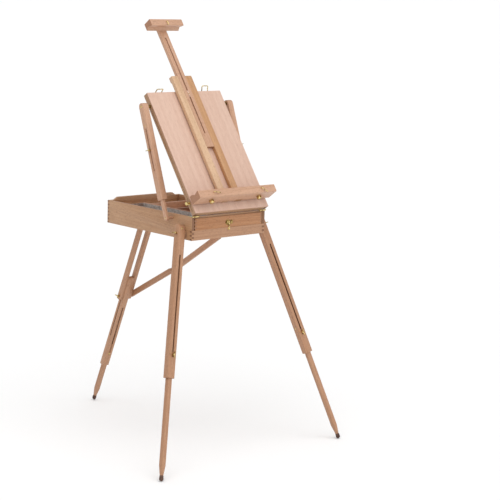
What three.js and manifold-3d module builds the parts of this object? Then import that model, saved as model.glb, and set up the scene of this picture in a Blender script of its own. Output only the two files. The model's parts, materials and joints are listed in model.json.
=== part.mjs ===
// Wooden sketch-box easel: a drawer box on three telescopic legs, with a hinged canvas panel,
// a sliding canvas carriage and a sliding mast. Millimetres, +Z up, the artist stands on the -Y side.
import * as THREE from 'three';
import { mergeVertices } from 'three/addons/utils/BufferGeometryUtils.js';
import Module from 'manifold-3d';

const wasm = await Module();
wasm.setup();

// ---------- clearances ----------
const GAP = 0.3; // between pieces that touch on the real easel
const FIT = 0.1; // radial clearance of a pin in its hole
const SLIDE = 0.3; // clearance each side of a sliding leg, arm bar or mast

// ---------- driving dimensions ----------
const STAND_HEIGHT = 890; // underside of the box above the floor
const BOX = { width: 394, depth: 560, height: 97, wall: 12, lipHeight: 11, lipInset: 17, lipBevel: 18 };
const FRONT_BOARD_HEIGHT = 40.5;
const REAR_FINGERS = 13;
const FRONT_FINGERS = 5;
const BOTTOM = { thickness: 5, above: 3 };
const SHELF_THICKNESS = 4;
const DRAWER = { sideGap: 4.5, topGap: 8, depth: 480, side: 9, fingers: 7, backDrop: 9 };
const DRAWER_FLOOR = { thickness: 3, above: 2 };
const DIVIDER = { thickness: 7, fromLeft: 97, crossFromFront: 262 };
const LINER_WALL = 1.2;
const LATCH = { height: 62, boss: 4.5, arm: 17, width: 5, thick: 2, pin: 1.5, tip: 3.5 };

const LID = { tilt: 35.73, frame: 21, railWidth: 16, topRail: 40, bottomRail: 20, panel: 4 };
const LID_BOSS_BELOW_TOP = 56.5;
const KERF = { width: 2.5, depth: 4, belowTop: 90 };
const HINGE = { radius: 3.5, length: 34, ahead: 4, above: 1, leaf: 1.5, leafLength: 26 };
const BAIL = { out: 128, width: 32, height: 30, wire: 1.5, leanLeft: 76, leanRight: 39 };

const CARRIAGE = { railWidth: 33.6, railThick: 16, standOff: 5, bottom: 37, abovePanel: 64 };
const CARRIAGE_PLATE = { thickness: 3.6, cleat: 24 };
const CARRIAGE_TRAVEL = { up: 60, down: 30 };
const TRAY = { width: 413, front: 69, back: 12.3, bottom: 37, height: 33.5, groove: 7.5 };
const HOOK = { out: 128, height: 56, wire: 1.6, stub: 7, arm: 30, tailDepth: 37 };
const THUMB = { radius: 9.5, length: 13, shank: 2.5 };

const MAST = { width: 39.2, bottom: 287, top: 881, slotBottom: 351, slotTop: 816, slot: 7 };
const HEAD = { width: 171, depth: 42.5, height: 31, groove: 8.9 };
const CLAMP = { belowTop: 32, keyFrom: 36, keyTo: 8, screw: 2 }; // measured down from the panel's upper end

const ARM = { fromSide: 32, fromFront: 124, height: 80, thick: 27, width: 30, bottom: 74 };
const ARM_BAR = { thick: 10, width: 18.8, top: 298, end: 12, boss: 6 };
const ARM_SLOT = { bottom: 195, top: 372, width: 6.5, screwAt: 283 };

const LEG = { width: 35, depth: 26, bore: 18.8, top: 38, bottom: 583, slotTop: 88, slotBottom: 500, slot: 7 };
const LEG_PIVOT = { fromSide: 25, fromFront: 46, height: 26, screw: 3 };
const LEG_FOOT = { out: 268, ahead: 246 };
const LOWER_LEG = { overlap: 105, taper: 40, tip: 10, screwBelowTop: 12, screw: 2.5 };
const FOOT = { radius: 9, length: 22 };
const WEDGE = { halfHeight: 14, depth: 28 };

const REAR = { fromRear: 21, drop: 14, lean: 22.6, pin: 3 };
const REAR_RAIL = { width: 16.7, depth: 19.5, gap: 32.4, length: 391 };
const REAR_KNEE = 375;
const REAR_MIDDLE = { top: 278, bottom: 749, depth: 24, slotTop: 436, slotBottom: 692, travel: 210 };
const REAR_LOWER = { top: 634, screwAt: 684 };
const BRACE = { thick: 10, width: 24, fromFront: 118, drop: 20, slack: 0.2 };

const WING = { hub: 5, hubLength: 9, span: 26, height: 9, thick: 2.6 };

// ---------- finishes ----------
const finish = (color, roughness, metalness = 0) =>
  new THREE.MeshStandardMaterial({ color, roughness, metalness });
const BEECH = finish(0xc8996b, 0.55);
const BEECH_SIDE = finish(0xb08c64, 0.6);
const PLYWOOD = finish(0xe0bea8, 0.6);
const BRASS = finish(0xcfae62, 0.3, 1);
const ALUMINIUM = finish(0xd8d8da, 0.35, 1);
const RUBBER = finish(0x3a241c, 0.8);

// ---------- shape helpers ----------
const rad = THREE.MathUtils.degToRad;
const SIDES = [{ name: 'left', sign: -1 }, { name: 'right', sign: 1 }];

// A block given by its lowest and highest corners.
function block(x0, x1, y0, y1, z0, z1) {
  const shape = new THREE.BoxGeometry(x1 - x0, y1 - y0, z1 - z0);
  return shape.translate((x0 + x1) / 2, (y0 + y1) / 2, (z0 + z1) / 2);
}

// A block whose x range is given outwards from the middle, for the left or right side.
function sideBlock(sign, x0, x1, y0, y1, z0, z1) {
  return block(Math.min(sign * x0, sign * x1), Math.max(sign * x0, sign * x1), y0, y1, z0, z1);
}

// A round bar from one point to another.
function rod(radius, from, to, segments = 24) {
  const start = new THREE.Vector3(...from);
  const along = new THREE.Vector3(...to).sub(start);
  const shape = new THREE.CylinderGeometry(radius, radius, along.length(), segments);
  const direction = along.clone().normalize();
  shape.applyQuaternion(new THREE.Quaternion().setFromUnitVectors(new THREE.Vector3(0, 1, 0), direction));
  return shape.translate(start.x + along.x / 2, start.y + along.y / 2, start.z + along.z / 2);
}

// An outline in the YZ plane, drawn as [y, z] points, extruded along X from x0 to x1.
function extrudeX(points, x0, x1) {
  const outline = new THREE.Shape(points.map(([y, z]) => new THREE.Vector2(y, z)));
  const shape = new THREE.ExtrudeGeometry(outline, { depth: x1 - x0, bevelEnabled: false });
  const turn = new THREE.Matrix4().makeBasis(
    new THREE.Vector3(0, 1, 0), new THREE.Vector3(0, 0, 1), new THREE.Vector3(1, 0, 0));
  return shape.applyMatrix4(turn).translate(x0, 0, 0);
}

// An outline in the XZ plane, drawn as [x, z] points, extruded along Y from y0 to y1.
function extrudeY(points, y0, y1) {
  const outline = new THREE.Shape(points.map(([x, z]) => new THREE.Vector2(x, z)));
  const shape = new THREE.ExtrudeGeometry(outline, { depth: y1 - y0, bevelEnabled: false });
  const turn = new THREE.Matrix4().makeBasis(
    new THREE.Vector3(1, 0, 0), new THREE.Vector3(0, 0, 1), new THREE.Vector3(0, -1, 0));
  return shape.applyMatrix4(turn).translate(0, y1, 0);
}

// An outline in the XY plane, extruded up from z0 to z1.
function extrudeZ(points, z0, z1) {
  const outline = new THREE.Shape(points.map(([x, y]) => new THREE.Vector2(x, y)));
  return new THREE.ExtrudeGeometry(outline, { depth: z1 - z0, bevelEnabled: false }).translate(0, 0, z0);
}

// A bar of width 2r in Y with one or both ends rounded, as [y, z] points.
function roundedBar(r, bottom, top, roundBottom, roundTop) {
  const arc = (centre, start) => Array.from({ length: 9 }, (_, i) => {
    const angle = start + (Math.PI * i) / 8;
    return [r * Math.cos(angle), centre + r * Math.sin(angle)];
  });
  const head = roundTop ? arc(top - r, 0) : [[r, top], [-r, top]];
  const tail = roundBottom ? arc(bottom + r, Math.PI) : [[-r, bottom], [r, bottom]];
  return [...head, ...tail];
}

// A bent wire that follows the points, with softened corners.
function wire(radius, points, steps = 28) {
  const bends = points.map((p) => new THREE.Vector3(...p));
  const route = new THREE.CatmullRomCurve3(bends, false, 'catmullrom', 0.2);
  const section = new THREE.Shape().absarc(0, 0, radius, 0, Math.PI * 2);
  const settings = { steps, extrudePath: route, curveSegments: 5, bevelEnabled: false };
  return new THREE.ExtrudeGeometry(section, settings);
}

// ---------- booleans ----------
function toSolid(geometry) {
  const bare = geometry.clone();
  bare.deleteAttribute('normal');
  bare.deleteAttribute('uv');
  const merged = mergeVertices(bare, 1e-4);
  return new wasm.Manifold(new wasm.Mesh({
    numProp: 3,
    vertProperties: new Float32Array(merged.attributes.position.array),
    triVerts: new Uint32Array(merged.index.array),
  }));
}

function toGeometry(solid) {
  const mesh = solid.getMesh();
  const geometry = new THREE.BufferGeometry();
  geometry.setAttribute('position', new THREE.BufferAttribute(new Float32Array(mesh.vertProperties), 3));
  geometry.setIndex(new THREE.BufferAttribute(new Uint32Array(mesh.triVerts), 1));
  geometry.computeVertexNormals();
  return geometry;
}

function cut(body, ...tools) {
  return toGeometry(tools.reduce((solid, tool) => solid.subtract(toSolid(tool)), toSolid(body)));
}

function join(body, ...extras) {
  return toGeometry(extras.reduce((solid, extra) => solid.add(toSolid(extra)), toSolid(body)));
}

function mesh(parent, name, geometry, material) {
  const node = new THREE.Mesh(geometry, material);
  node.name = name;
  parent.add(node);
  return node;
}

// ---------- box corners with finger joints ----------
const halfWidth = BOX.width / 2;
const halfDepth = BOX.depth / 2;
const insideHalf = halfWidth - BOX.wall;
const lipBase = insideHalf - BOX.lipInset;
const legPivotOut = halfWidth + LEG_PIVOT.fromSide;
const armOut = halfWidth + ARM.fromSide;

// Height ranges to cut away where a neighbour's fingers come through: every other slice, from `first`.
// `grow` widens each cut; the lowest and highest cuts run past the ends by `below` and `above`.
function fingerCuts(height, count, first, grow, below, above) {
  const slice = height / count;
  return Array.from({ length: count }, (_, i) => [
    i === 0 ? -below : i * slice - grow,
    i === count - 1 ? height + above : (i + 1) * slice + grow,
  ]).filter((_, i) => i % 2 === first);
}

function legAxes(sign) {
  const down = new THREE.Vector3(sign * LEG_FOOT.out, -LEG_FOOT.ahead, -(STAND_HEIGHT + LEG_PIVOT.height));
  const reach = down.length();
  const up = down.clone().normalize().negate();
  const across = new THREE.Vector3(0, 1, 0).cross(up).normalize();
  const back = up.clone().cross(across);
  return { up, across, back, reach };
}

const splay = Math.atan2(LEG_FOOT.out, STAND_HEIGHT + LEG_PIVOT.height);

// The sloped block, glued to the side board, that the folding leg bears on.
function legWedge(sign) {
  const centre = legPivotOut - (LEG.width / 2 + GAP) * Math.cos(splay);
  const middle = LEG_PIVOT.height - (LEG.width / 2 + GAP) * Math.sin(splay);
  const top = [centre - WEDGE.halfHeight * Math.sin(splay), middle + WEDGE.halfHeight * Math.cos(splay)];
  const bottom = [centre + WEDGE.halfHeight * Math.sin(splay), middle - WEDGE.halfHeight * Math.cos(splay)];
  const glueFace = halfWidth - 1;
  const points = [[glueFace, top[1]], top, bottom, [glueFace, bottom[1]]].map(([x, z]) => [sign * x, z]);
  const y = -halfDepth + LEG_PIVOT.fromFront;
  return extrudeY(points, y - WEDGE.depth / 2, y + WEDGE.depth / 2);
}

function legPivotPoint(sign) {
  return new THREE.Vector3(sign * legPivotOut, -halfDepth + LEG_PIVOT.fromFront, LEG_PIVOT.height);
}

function sideBoard(sign) {
  const board = sideBlock(sign, insideHalf, halfWidth, -halfDepth, halfDepth, 0, BOX.height);
  const rearSlots = fingerCuts(BOX.height, REAR_FINGERS, 0, 0, 1, 1).map(([low, high]) =>
    sideBlock(sign, insideHalf - 1, halfWidth + 1, halfDepth - BOX.wall - GAP, halfDepth + 1, low, high));
  const frontSlots = fingerCuts(FRONT_BOARD_HEIGHT, FRONT_FINGERS, 0, 0, 1, GAP).map(([low, high]) =>
    sideBlock(sign, insideHalf - 1, halfWidth + 1, -halfDepth - 1, -halfDepth + BOX.wall + GAP, low, high));
  const leafPocket = sideBlock(sign, insideHalf - 1, halfWidth + 1,
    -halfDepth - 1, -halfDepth + HINGE.leafLength + GAP, BOX.height - HINGE.leaf - GAP, BOX.height + 1);
  const pivot = legPivotPoint(sign);
  const { across } = legAxes(sign);
  const holeDepth = (legPivotOut - insideHalf - BOX.wall / 3) / Math.cos(splay);
  const inner = pivot.clone().addScaledVector(across, -sign * holeDepth);
  const screwHole = rod(LEG_PIVOT.screw + FIT, inner.toArray(), pivot.toArray());
  return cut(join(board, legWedge(sign)), ...rearSlots, ...frontSlots, leafPocket, screwHole);
}

// A board across the box, between the side boards, with fingers let into both of them.
function crossBoard(outline, yFront, height, fingers) {
  const plate = extrudeY(outline, yFront, yFront + BOX.wall);
  const slots = SIDES.flatMap(({ sign }) => fingerCuts(height, fingers, 1, GAP, 1, 1).map(([low, high]) =>
    sideBlock(sign, insideHalf - GAP, halfWidth + 1, yFront - 1, yFront + BOX.wall + 1, low, high)));
  return cut(plate, ...slots);
}

function frontBoard() {
  const top = FRONT_BOARD_HEIGHT;
  const outline = [[-halfWidth, 0], [halfWidth, 0], [halfWidth, top], [-halfWidth, top]];
  return crossBoard(outline, -halfDepth, top, FRONT_FINGERS);
}

function rearBoard() {
  const half = lipBase - BOX.lipBevel;
  const z = BOX.height;
  const outline = [[-halfWidth, 0], [halfWidth, 0], [halfWidth, z], [lipBase, z], [half, z + BOX.lipHeight],
    [-half, z + BOX.lipHeight], [-lipBase, z], [-halfWidth, z]];
  return crossBoard(outline, halfDepth - BOX.wall, BOX.height, REAR_FINGERS);
}

function buildBox(parent) {
  for (const { name, sign } of SIDES) mesh(parent, `side_board_${name}`, sideBoard(sign), BEECH_SIDE);
  mesh(parent, 'rear_board', rearBoard(), BEECH_SIDE);
  mesh(parent, 'front_board', frontBoard(), BEECH);
  const x = insideHalf - GAP;
  const y = halfDepth - BOX.wall - GAP;
  mesh(parent, 'bottom_panel', block(-x, x, -y, y, BOTTOM.above, BOTTOM.above + BOTTOM.thickness), PLYWOOD);
  const shelfTop = FRONT_BOARD_HEIGHT;
  mesh(parent, 'drawer_shelf', block(-x, x, -y, y, shelfTop - SHELF_THICKNESS, shelfTop), PLYWOOD);
}

// ---------- drawer ----------
const drawerHalf = insideHalf - DRAWER.sideGap;
const drawerFloor = FRONT_BOARD_HEIGHT + GAP;
const drawerTop = BOX.height - DRAWER.topGap;
const drawerHeight = drawerTop - drawerFloor;
const drawerInside = drawerHalf - DRAWER.side;
const drawerBackFace = -halfDepth + DRAWER.depth;

function drawerFront() {
  const y1 = -halfDepth + BOX.wall;
  const plate = block(-drawerHalf, drawerHalf, -halfDepth, y1, drawerFloor, drawerTop);
  const ranges = fingerCuts(drawerHeight, DRAWER.fingers, 1, GAP, 1, 1);
  const slots = SIDES.flatMap(({ sign }) => ranges.map(([low, high]) =>
    sideBlock(sign, drawerInside - GAP, drawerHalf + 1, -halfDepth - 1, y1 + 1,
      drawerFloor + low, drawerFloor + high)));
  const pinHole = rod(LATCH.pin + FIT, [0, -halfDepth - 1, LATCH.height], [0, -halfDepth + 8, LATCH.height]);
  return cut(plate, ...slots, pinHole);
}

function drawerSide(sign) {
  const plank = sideBlock(sign, drawerInside, drawerHalf, -halfDepth, drawerBackFace, drawerFloor, drawerTop);
  const slots = fingerCuts(drawerHeight, DRAWER.fingers, 0, 0, 1, 1).map(([low, high]) =>
    sideBlock(sign, drawerInside - 1, drawerHalf + 1, -halfDepth - 1, -halfDepth + BOX.wall + GAP,
      drawerFloor + low, drawerFloor + high));
  return cut(plank, ...slots);
}

function buildDrawer(parent) {
  mesh(parent, 'drawer_front', drawerFront(), BEECH);
  for (const { name, sign } of SIDES) mesh(parent, `drawer_side_${name}`, drawerSide(sign), BEECH);
  const x = drawerInside - GAP;
  const frontInside = -halfDepth + BOX.wall + GAP;
  const backInside = drawerBackFace - DRAWER.side - GAP;
  const backTop = drawerTop - DRAWER.backDrop;
  const back = block(-x, x, drawerBackFace - DRAWER.side, drawerBackFace, drawerFloor, backTop);
  mesh(parent, 'drawer_back', back, BEECH);
  const floorLow = drawerFloor + DRAWER_FLOOR.above;
  const floorTop = floorLow + DRAWER_FLOOR.thickness;
  mesh(parent, 'drawer_bottom', block(-x, x, frontInside, backInside, floorLow, floorTop), PLYWOOD);
  const dividerLeft = -drawerInside + DIVIDER.fromLeft;
  const dividerRight = dividerLeft + DIVIDER.thickness;
  const crossFront = -halfDepth + DIVIDER.crossFromFront;
  const crossBack = crossFront + DIVIDER.thickness;
  const plan = [[dividerLeft, frontInside], [dividerRight, frontInside], [dividerRight, crossFront],
    [x, crossFront], [x, crossBack], [dividerRight, crossBack], [dividerRight, backInside],
    [dividerLeft, backInside]];
  mesh(parent, 'drawer_divider', extrudeZ(plan, floorTop + GAP, drawerTop), BEECH);
  const pan = [-drawerInside + GAP, dividerLeft - GAP, frontInside, backInside];
  const inset = [pan[0] + LINER_WALL, pan[1] - LINER_WALL, pan[2] + LINER_WALL, pan[3] - LINER_WALL];
  const linerFloor = floorTop + GAP;
  const hollow = block(...inset, linerFloor + LINER_WALL, drawerTop);
  const liner = cut(block(...pan, linerFloor, drawerTop - 2), hollow);
  mesh(parent, 'metal_liner', liner, ALUMINIUM);
}

// The hook latch on the drawer front; its origin is its pin.
function buildLatch(parent) {
  const latch = new THREE.Group();
  latch.position.set(0, -halfDepth, LATCH.height);
  parent.add(latch);
  const boss = rod(LATCH.boss, [0, -GAP - 4, 0], [0, -GAP, 0]);
  const pin = rod(LATCH.pin, [0, -GAP - 1, 0], [0, 6, 0]);
  const arm = block(-LATCH.width / 2, LATCH.width / 2, -GAP - 1 - LATCH.thick, -GAP - 1, -LATCH.arm, 0);
  const tip = rod(LATCH.tip, [0, -GAP - 2 - LATCH.thick, -LATCH.arm], [0, -GAP - 0.5, -LATCH.arm]);
  mesh(latch, 'drawer_latch', join(boss, pin, arm, tip), BRASS);
}

// ---------- hinges of the canvas panel ----------
function buildHinges(parent) {
  const y = -halfDepth - HINGE.ahead;
  const z = BOX.height + HINGE.above;
  for (const { name, sign } of SIDES) {
    const barrel = rod(HINGE.radius, [sign * (halfWidth - HINGE.length), y, z], [sign * halfWidth, y, z], 16);
    const leaf = sideBlock(sign, insideHalf + GAP, halfWidth - GAP, y, -halfDepth + HINGE.leafLength,
      BOX.height - HINGE.leaf, BOX.height);
    mesh(parent, `hinge_${name}`, join(barrel, leaf), BRASS);
  }
}

// ---------- canvas panel (lid): local z runs up the panel, local -y is its outer face ----------
const lidStart = HINGE.ahead; // distance from the hinge line to the panel's lower end
const lidEnd = lidStart + BOX.depth;
const lidBack = HINGE.above - GAP; // local y of the frame's inner face: the frame lies on the box when closed
const frameFront = lidBack - LID.frame;
const panelBack = frameFront - GAP;
const panelFront = panelBack - LID.panel;
const armBossAt = lidEnd - LID_BOSS_BELOW_TOP;
const clampAt = lidEnd - CLAMP.belowTop;
const keyBottom = lidEnd - CLAMP.keyFrom;
const keyTop = lidEnd - CLAMP.keyTo;

function lidSideRail(sign) {
  const rail = sideBlock(sign, halfWidth - LID.railWidth, halfWidth, frameFront, lidBack, lidStart, lidEnd);
  const middle = (frameFront + lidBack) / 2;
  const kerf = sideBlock(sign, halfWidth - KERF.depth, halfWidth + 1,
    middle - KERF.width / 2, middle + KERF.width / 2, lidStart + LID.railWidth, lidEnd - KERF.belowTop);
  const bossEnd = armOut - ARM.thick / 2 - 2 * GAP;
  const bossStart = halfWidth - 1;
  const boss = rod(ARM_BAR.boss, [sign * bossStart, middle, armBossAt], [sign * bossEnd, middle, armBossAt]);
  return join(cut(rail, kerf), boss);
}

const clampHole = () => rod(CLAMP.screw + FIT, [0, lidBack + 1, clampAt], [0, panelFront - 40, clampAt]);

function lidTopRail() {
  const x = halfWidth - LID.railWidth - GAP;
  const rail = block(-x, x, frameFront, lidBack, lidEnd - LID.topRail, lidEnd);
  const half = lipBase + 4;
  const lipClearance = 2;
  const notch = block(-half, half, lidBack - HINGE.above - BOX.lipHeight - lipClearance, lidBack + 1,
    lidEnd - BOX.wall - lipClearance, lidEnd + 1);
  return cut(rail, notch, clampHole());
}

// The panel carries the key that runs in the mast's slot, with the clamp screw through it.
function canvasPanel() {
  const panel = block(-halfWidth, halfWidth, panelFront, panelBack, lidStart, lidEnd);
  const half = MAST.slot / 2 - SLIDE;
  const keyFront = panelFront - CARRIAGE.standOff - CARRIAGE.railThick;
  const key = block(-half, half, keyFront, panelFront + 1, keyBottom, keyTop);
  return cut(join(panel, key), clampHole());
}

function buildLid(parent) {
  for (const { name, sign } of SIDES) mesh(parent, `lid_side_rail_${name}`, lidSideRail(sign), BEECH_SIDE);
  mesh(parent, 'lid_top_rail', lidTopRail(), BEECH_SIDE);
  const x = halfWidth - LID.railWidth - GAP;
  const bottomRail = block(-x, x, frameFront, lidBack, lidStart, lidStart + LID.bottomRail);
  mesh(parent, 'lid_bottom_rail', bottomRail, BEECH_SIDE);
  mesh(parent, 'canvas_panel', canvasPanel(), PLYWOOD);
}

// A wire loop that swings on the panel's upper edge; it stands up along local z at zero lean.
function buildBails(parent) {
  for (const { name, sign } of SIDES) {
    const lean = sign < 0 ? BAIL.leanLeft : BAIL.leanRight;
    const loop = new THREE.Group();
    loop.position.set(sign * BAIL.out, lidBack - 4, lidEnd + BAIL.wire + 1.5);
    loop.rotation.x = rad(lean);
    parent.add(loop);
    const half = BAIL.width / 2;
    const route = [[5 - half, 0, 0], [1.5 - half, 0, 0.4], [-half, 0, 3],
      [-half, 0, BAIL.height - 3], [3 - half, 0, BAIL.height]];
    const mirrored = route.map(([x, y, z]) => [-x, y, z]).reverse();
    mesh(loop, `bail_loop_${name}`, wire(BAIL.wire, [...route, ...mirrored], 40), BRASS);
  }
}

// ---------- wing screw: head at the origin, shank along local +y, wings on the -y side ----------
function wingScrew(shank, length) {
  const hub = new THREE.LatheGeometry([
    new THREE.Vector2(0, 0), new THREE.Vector2(WING.hub, 0), new THREE.Vector2(WING.hub - 1, -WING.hubLength),
    new THREE.Vector2(0, -WING.hubLength)].reverse(), 20);
  const tongue = rod(shank, [0, -1, 0], [0, length, 0], 20);
  const half = WING.span / 2;
  const ear = new THREE.Shape();
  ear.moveTo(-3, -1.5);
  ear.bezierCurveTo(-8, -4, -half, -WING.height, -half, -WING.height - 4);
  ear.bezierCurveTo(-half + 1, -WING.height - 7, -6, -WING.height - 3, -2, -WING.hubLength + 1);
  ear.lineTo(2, -WING.hubLength + 1);
  ear.bezierCurveTo(6, -WING.height - 3, half - 1, -WING.height - 7, half, -WING.height - 4);
  ear.bezierCurveTo(half, -WING.height, 8, -4, 3, -1.5);
  const ears = new THREE.ExtrudeGeometry(ear, { depth: WING.thick, bevelEnabled: false, curveSegments: 5 });
  return join(hub, tongue, ears.translate(0, 0, -WING.thick / 2));
}

// ---------- canvas carriage: local frame of the lid ----------
const railBack = panelFront - CARRIAGE.standOff;
const railFront = railBack - CARRIAGE.railThick;
const railInner = MAST.width / 2 + SLIDE;
const carriageTop = lidEnd + CARRIAGE.abovePanel;

function tray() {
  const y = (off) => panelFront - off;
  const top = TRAY.bottom + TRAY.height;
  const bar = extrudeX([
    [y(TRAY.back), TRAY.bottom], [y(TRAY.back), top + 1], [y(TRAY.back + 16), top + 1],
    [y(TRAY.front - 24), top - TRAY.groove], [y(TRAY.front - 3), top], [y(TRAY.front), top - 2],
    [y(TRAY.front), TRAY.bottom + 3], [y(TRAY.front - 3), TRAY.bottom],
  ], -TRAY.width / 2, TRAY.width / 2);
  const railPockets = SIDES.map(({ sign }) =>
    sideBlock(sign, railInner - GAP, railInner + CARRIAGE.railWidth + GAP, railFront - GAP, y(0),
      TRAY.bottom - 1, top + 2));
  const tailEnd = TRAY.front - HOOK.tailDepth;
  const hookHoles = SIDES.map(({ sign }) =>
    rod(HOOK.wire + FIT, [sign * HOOK.out, y(TRAY.front + 1), HOOK.height],
      [sign * HOOK.out, y(tailEnd - 1), HOOK.height], 16));
  const thumbHoles = SIDES.map(({ sign }) =>
    rod(THUMB.shank + FIT, [sign * HOOK.out, y(tailEnd + 6), TRAY.bottom - 1],
      [sign * HOOK.out, y(tailEnd + 6), HOOK.height]));
  return cut(bar, ...railPockets, ...hookHoles, ...thumbHoles);
}

function carriageBack() {
  const y0 = railBack + GAP;
  const y1 = y0 + CARRIAGE_PLATE.thickness;
  const half = railInner + CARRIAGE.railWidth / 3;
  const outer = railInner + CARRIAGE.railWidth;
  const low = TRAY.bottom + TRAY.height + 5;
  const shoulder = carriageTop - CARRIAGE_PLATE.cleat;
  const plate = extrudeY([[-half, low], [half, low], [half, shoulder], [outer, shoulder], [outer, carriageTop],
    [-outer, carriageTop], [-outer, shoulder], [-half, shoulder]], y0, y1);
  const slotHalf = MAST.slot / 2;
  const keySlot = block(-slotHalf, slotHalf, y0 - 1, y1 + 1,
    keyBottom - CARRIAGE_TRAVEL.up - 2, keyTop + CARRIAGE_TRAVEL.down + 2);
  return cut(plate, keySlot);
}

function buildCarriage(parent) {
  for (const { name, sign } of SIDES) {
    const rail = sideBlock(sign, railInner, railInner + CARRIAGE.railWidth, railFront, railBack,
      CARRIAGE.bottom, carriageTop);
    mesh(parent, `carriage_rail_${name}`, rail, BEECH);
  }
  mesh(parent, 'carriage_back', carriageBack(), PLYWOOD);
  mesh(parent, 'canvas_tray', tray(), BEECH);
}

// A brass rod that comes out of a wooden bar and bends over to hold the canvas.
function canvasHook(stub, tail, arm, angle) {
  const turn = rad(angle);
  const bend = 2.5;
  const to = (d) => [d * Math.cos(turn), -stub, d * Math.sin(turn)];
  const corner = to(bend * 0.3);
  return wire(HOOK.wire, [[0, tail, 0], [0, tail / 2, 0], [0, -stub + bend + 1, 0],
    [corner[0], -stub + 0.7, corner[2]], to(bend + 1), to(arm)], 24);
}

function buildTrayFittings(parent) {
  const hookAngles = { left: -13, right: -44 };
  for (const { name, sign } of SIDES) {
    const front = panelFront - TRAY.front;
    const hook = new THREE.Group();
    hook.position.set(sign * HOOK.out, front, HOOK.height);
    parent.add(hook);
    mesh(hook, `canvas_hook_${name}`, canvasHook(HOOK.stub, HOOK.tailDepth, HOOK.arm, hookAngles[name]), BRASS);
    const knob = new THREE.Group();
    knob.position.set(sign * HOOK.out, front + HOOK.tailDepth - 6, TRAY.bottom);
    parent.add(knob);
    const disc = rod(THUMB.radius, [0, 0, -GAP - THUMB.length], [0, 0, -GAP], 20);
    const shank = rod(THUMB.shank, [0, 0, -GAP - 1], [0, 0, HOOK.height - TRAY.bottom - HOOK.wire - GAP]);
    mesh(knob, `thumb_screw_${name}`, join(disc, shank), BRASS);
  }
}

// ---------- mast and head: local frame of the lid ----------
function buildMast(parent) {
  const half = MAST.width / 2;
  const bar = block(-half, half, railFront, railBack - SLIDE, MAST.bottom, MAST.top);
  const slotHalf = MAST.slot / 2;
  const slot = block(-slotHalf, slotHalf, railFront - 1, railBack + 1, MAST.slotBottom, MAST.slotTop);
  mesh(parent, 'mast', cut(bar, slot), BEECH);
  const back = railFront - GAP;
  const low = MAST.top - HEAD.height;
  const profile = [[back, MAST.top], [back, low], [back - 14, low + HEAD.groove], [back - HEAD.depth + 2, low],
    [back - HEAD.depth, low + 2], [back - HEAD.depth, MAST.top - 2], [back - HEAD.depth + 2, MAST.top]];
  const bar2 = extrudeX(profile, -HEAD.width / 2, HEAD.width / 2);
  const hookAt = MAST.top - 13;
  const hookHole = rod(HOOK.wire + FIT, [0, back - HEAD.depth - 1, hookAt], [0, back - 18, hookAt], 16);
  mesh(parent, 'mast_head', cut(bar2, hookHole), BEECH);
  const hook = new THREE.Group();
  hook.position.set(0, back - HEAD.depth, hookAt);
  parent.add(hook);
  mesh(hook, 'head_hook', canvasHook(4.5, 22, 18, -90), BRASS);
}

// ---------- arms that prop the canvas panel ----------
// Where an arm pivots on the box, and how far and how steeply it reaches to its boss on the panel.
function armLine() {
  const tilt = rad(LID.tilt);
  const middle = (frameFront + lidBack) / 2;
  const pivot = new THREE.Vector2(-halfDepth + ARM.fromFront, ARM.height);
  const boss = new THREE.Vector2(
    -halfDepth - HINGE.ahead + middle * Math.cos(tilt) + armBossAt * Math.sin(tilt),
    BOX.height + HINGE.above - middle * Math.sin(tilt) + armBossAt * Math.cos(tilt));
  const along = boss.clone().sub(pivot);
  return { pivot, length: along.length(), lean: Math.atan2(along.x, along.y) };
}

function buildArms(parent) {
  const { pivot, length, lean } = armLine();
  for (const { name, sign } of SIDES) {
    const arm = new THREE.Group();
    arm.position.set(sign * armOut, pivot.x, pivot.y);
    arm.rotation.x = -lean;
    parent.add(arm);
    const barHalf = ARM_BAR.thick / 2;
    const outline = roundedBar(ARM_BAR.width / 2, -ARM_BAR.end, ARM_BAR.top, true, false);
    const bar = extrudeX(outline, -barHalf, barHalf);
    const bossEnd = armOut - halfWidth - GAP;
    const boss = rod(ARM_BAR.boss, [-sign * (barHalf - 1), 0, 0], [-sign * bossEnd, 0, 0], 20);
    const screwHole = rod(LOWER_LEG.screw + FIT, [-sign * 3, 0, ARM_SLOT.screwAt],
      [sign * (barHalf + 1), 0, ARM_SLOT.screwAt]);
    mesh(arm, `arm_bar_${name}`, cut(join(bar, boss), screwHole), BEECH);
    const half = ARM.thick / 2;
    const channelTop = length + ARM.width / 2;
    const channel = extrudeX(roundedBar(ARM.width / 2, ARM.bottom, channelTop, false, true), -half, half);
    const inner = ARM_BAR.width / 2 + SLIDE;
    const cavityTop = ARM_BAR.top + 90;
    const cavity = sideBlock(sign, -half - 1, barHalf + SLIDE, -inner, inner, ARM.bottom - 1, cavityTop);
    const slotHalf = ARM_SLOT.width / 2;
    const slot = sideBlock(sign, 0, half + 1, -slotHalf, slotHalf, ARM_SLOT.bottom, ARM_SLOT.top);
    mesh(arm, `arm_channel_${name}`, cut(channel, cavity, slot), BEECH);
    const screw = mesh(arm, `arm_wing_screw_${name}`, wingScrew(LOWER_LEG.screw, half + GAP + 2), BRASS);
    screw.position.set(sign * (half + GAP), 0, ARM_SLOT.screwAt);
    screw.rotation.z = sign * Math.PI / 2;
  }
}

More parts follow.
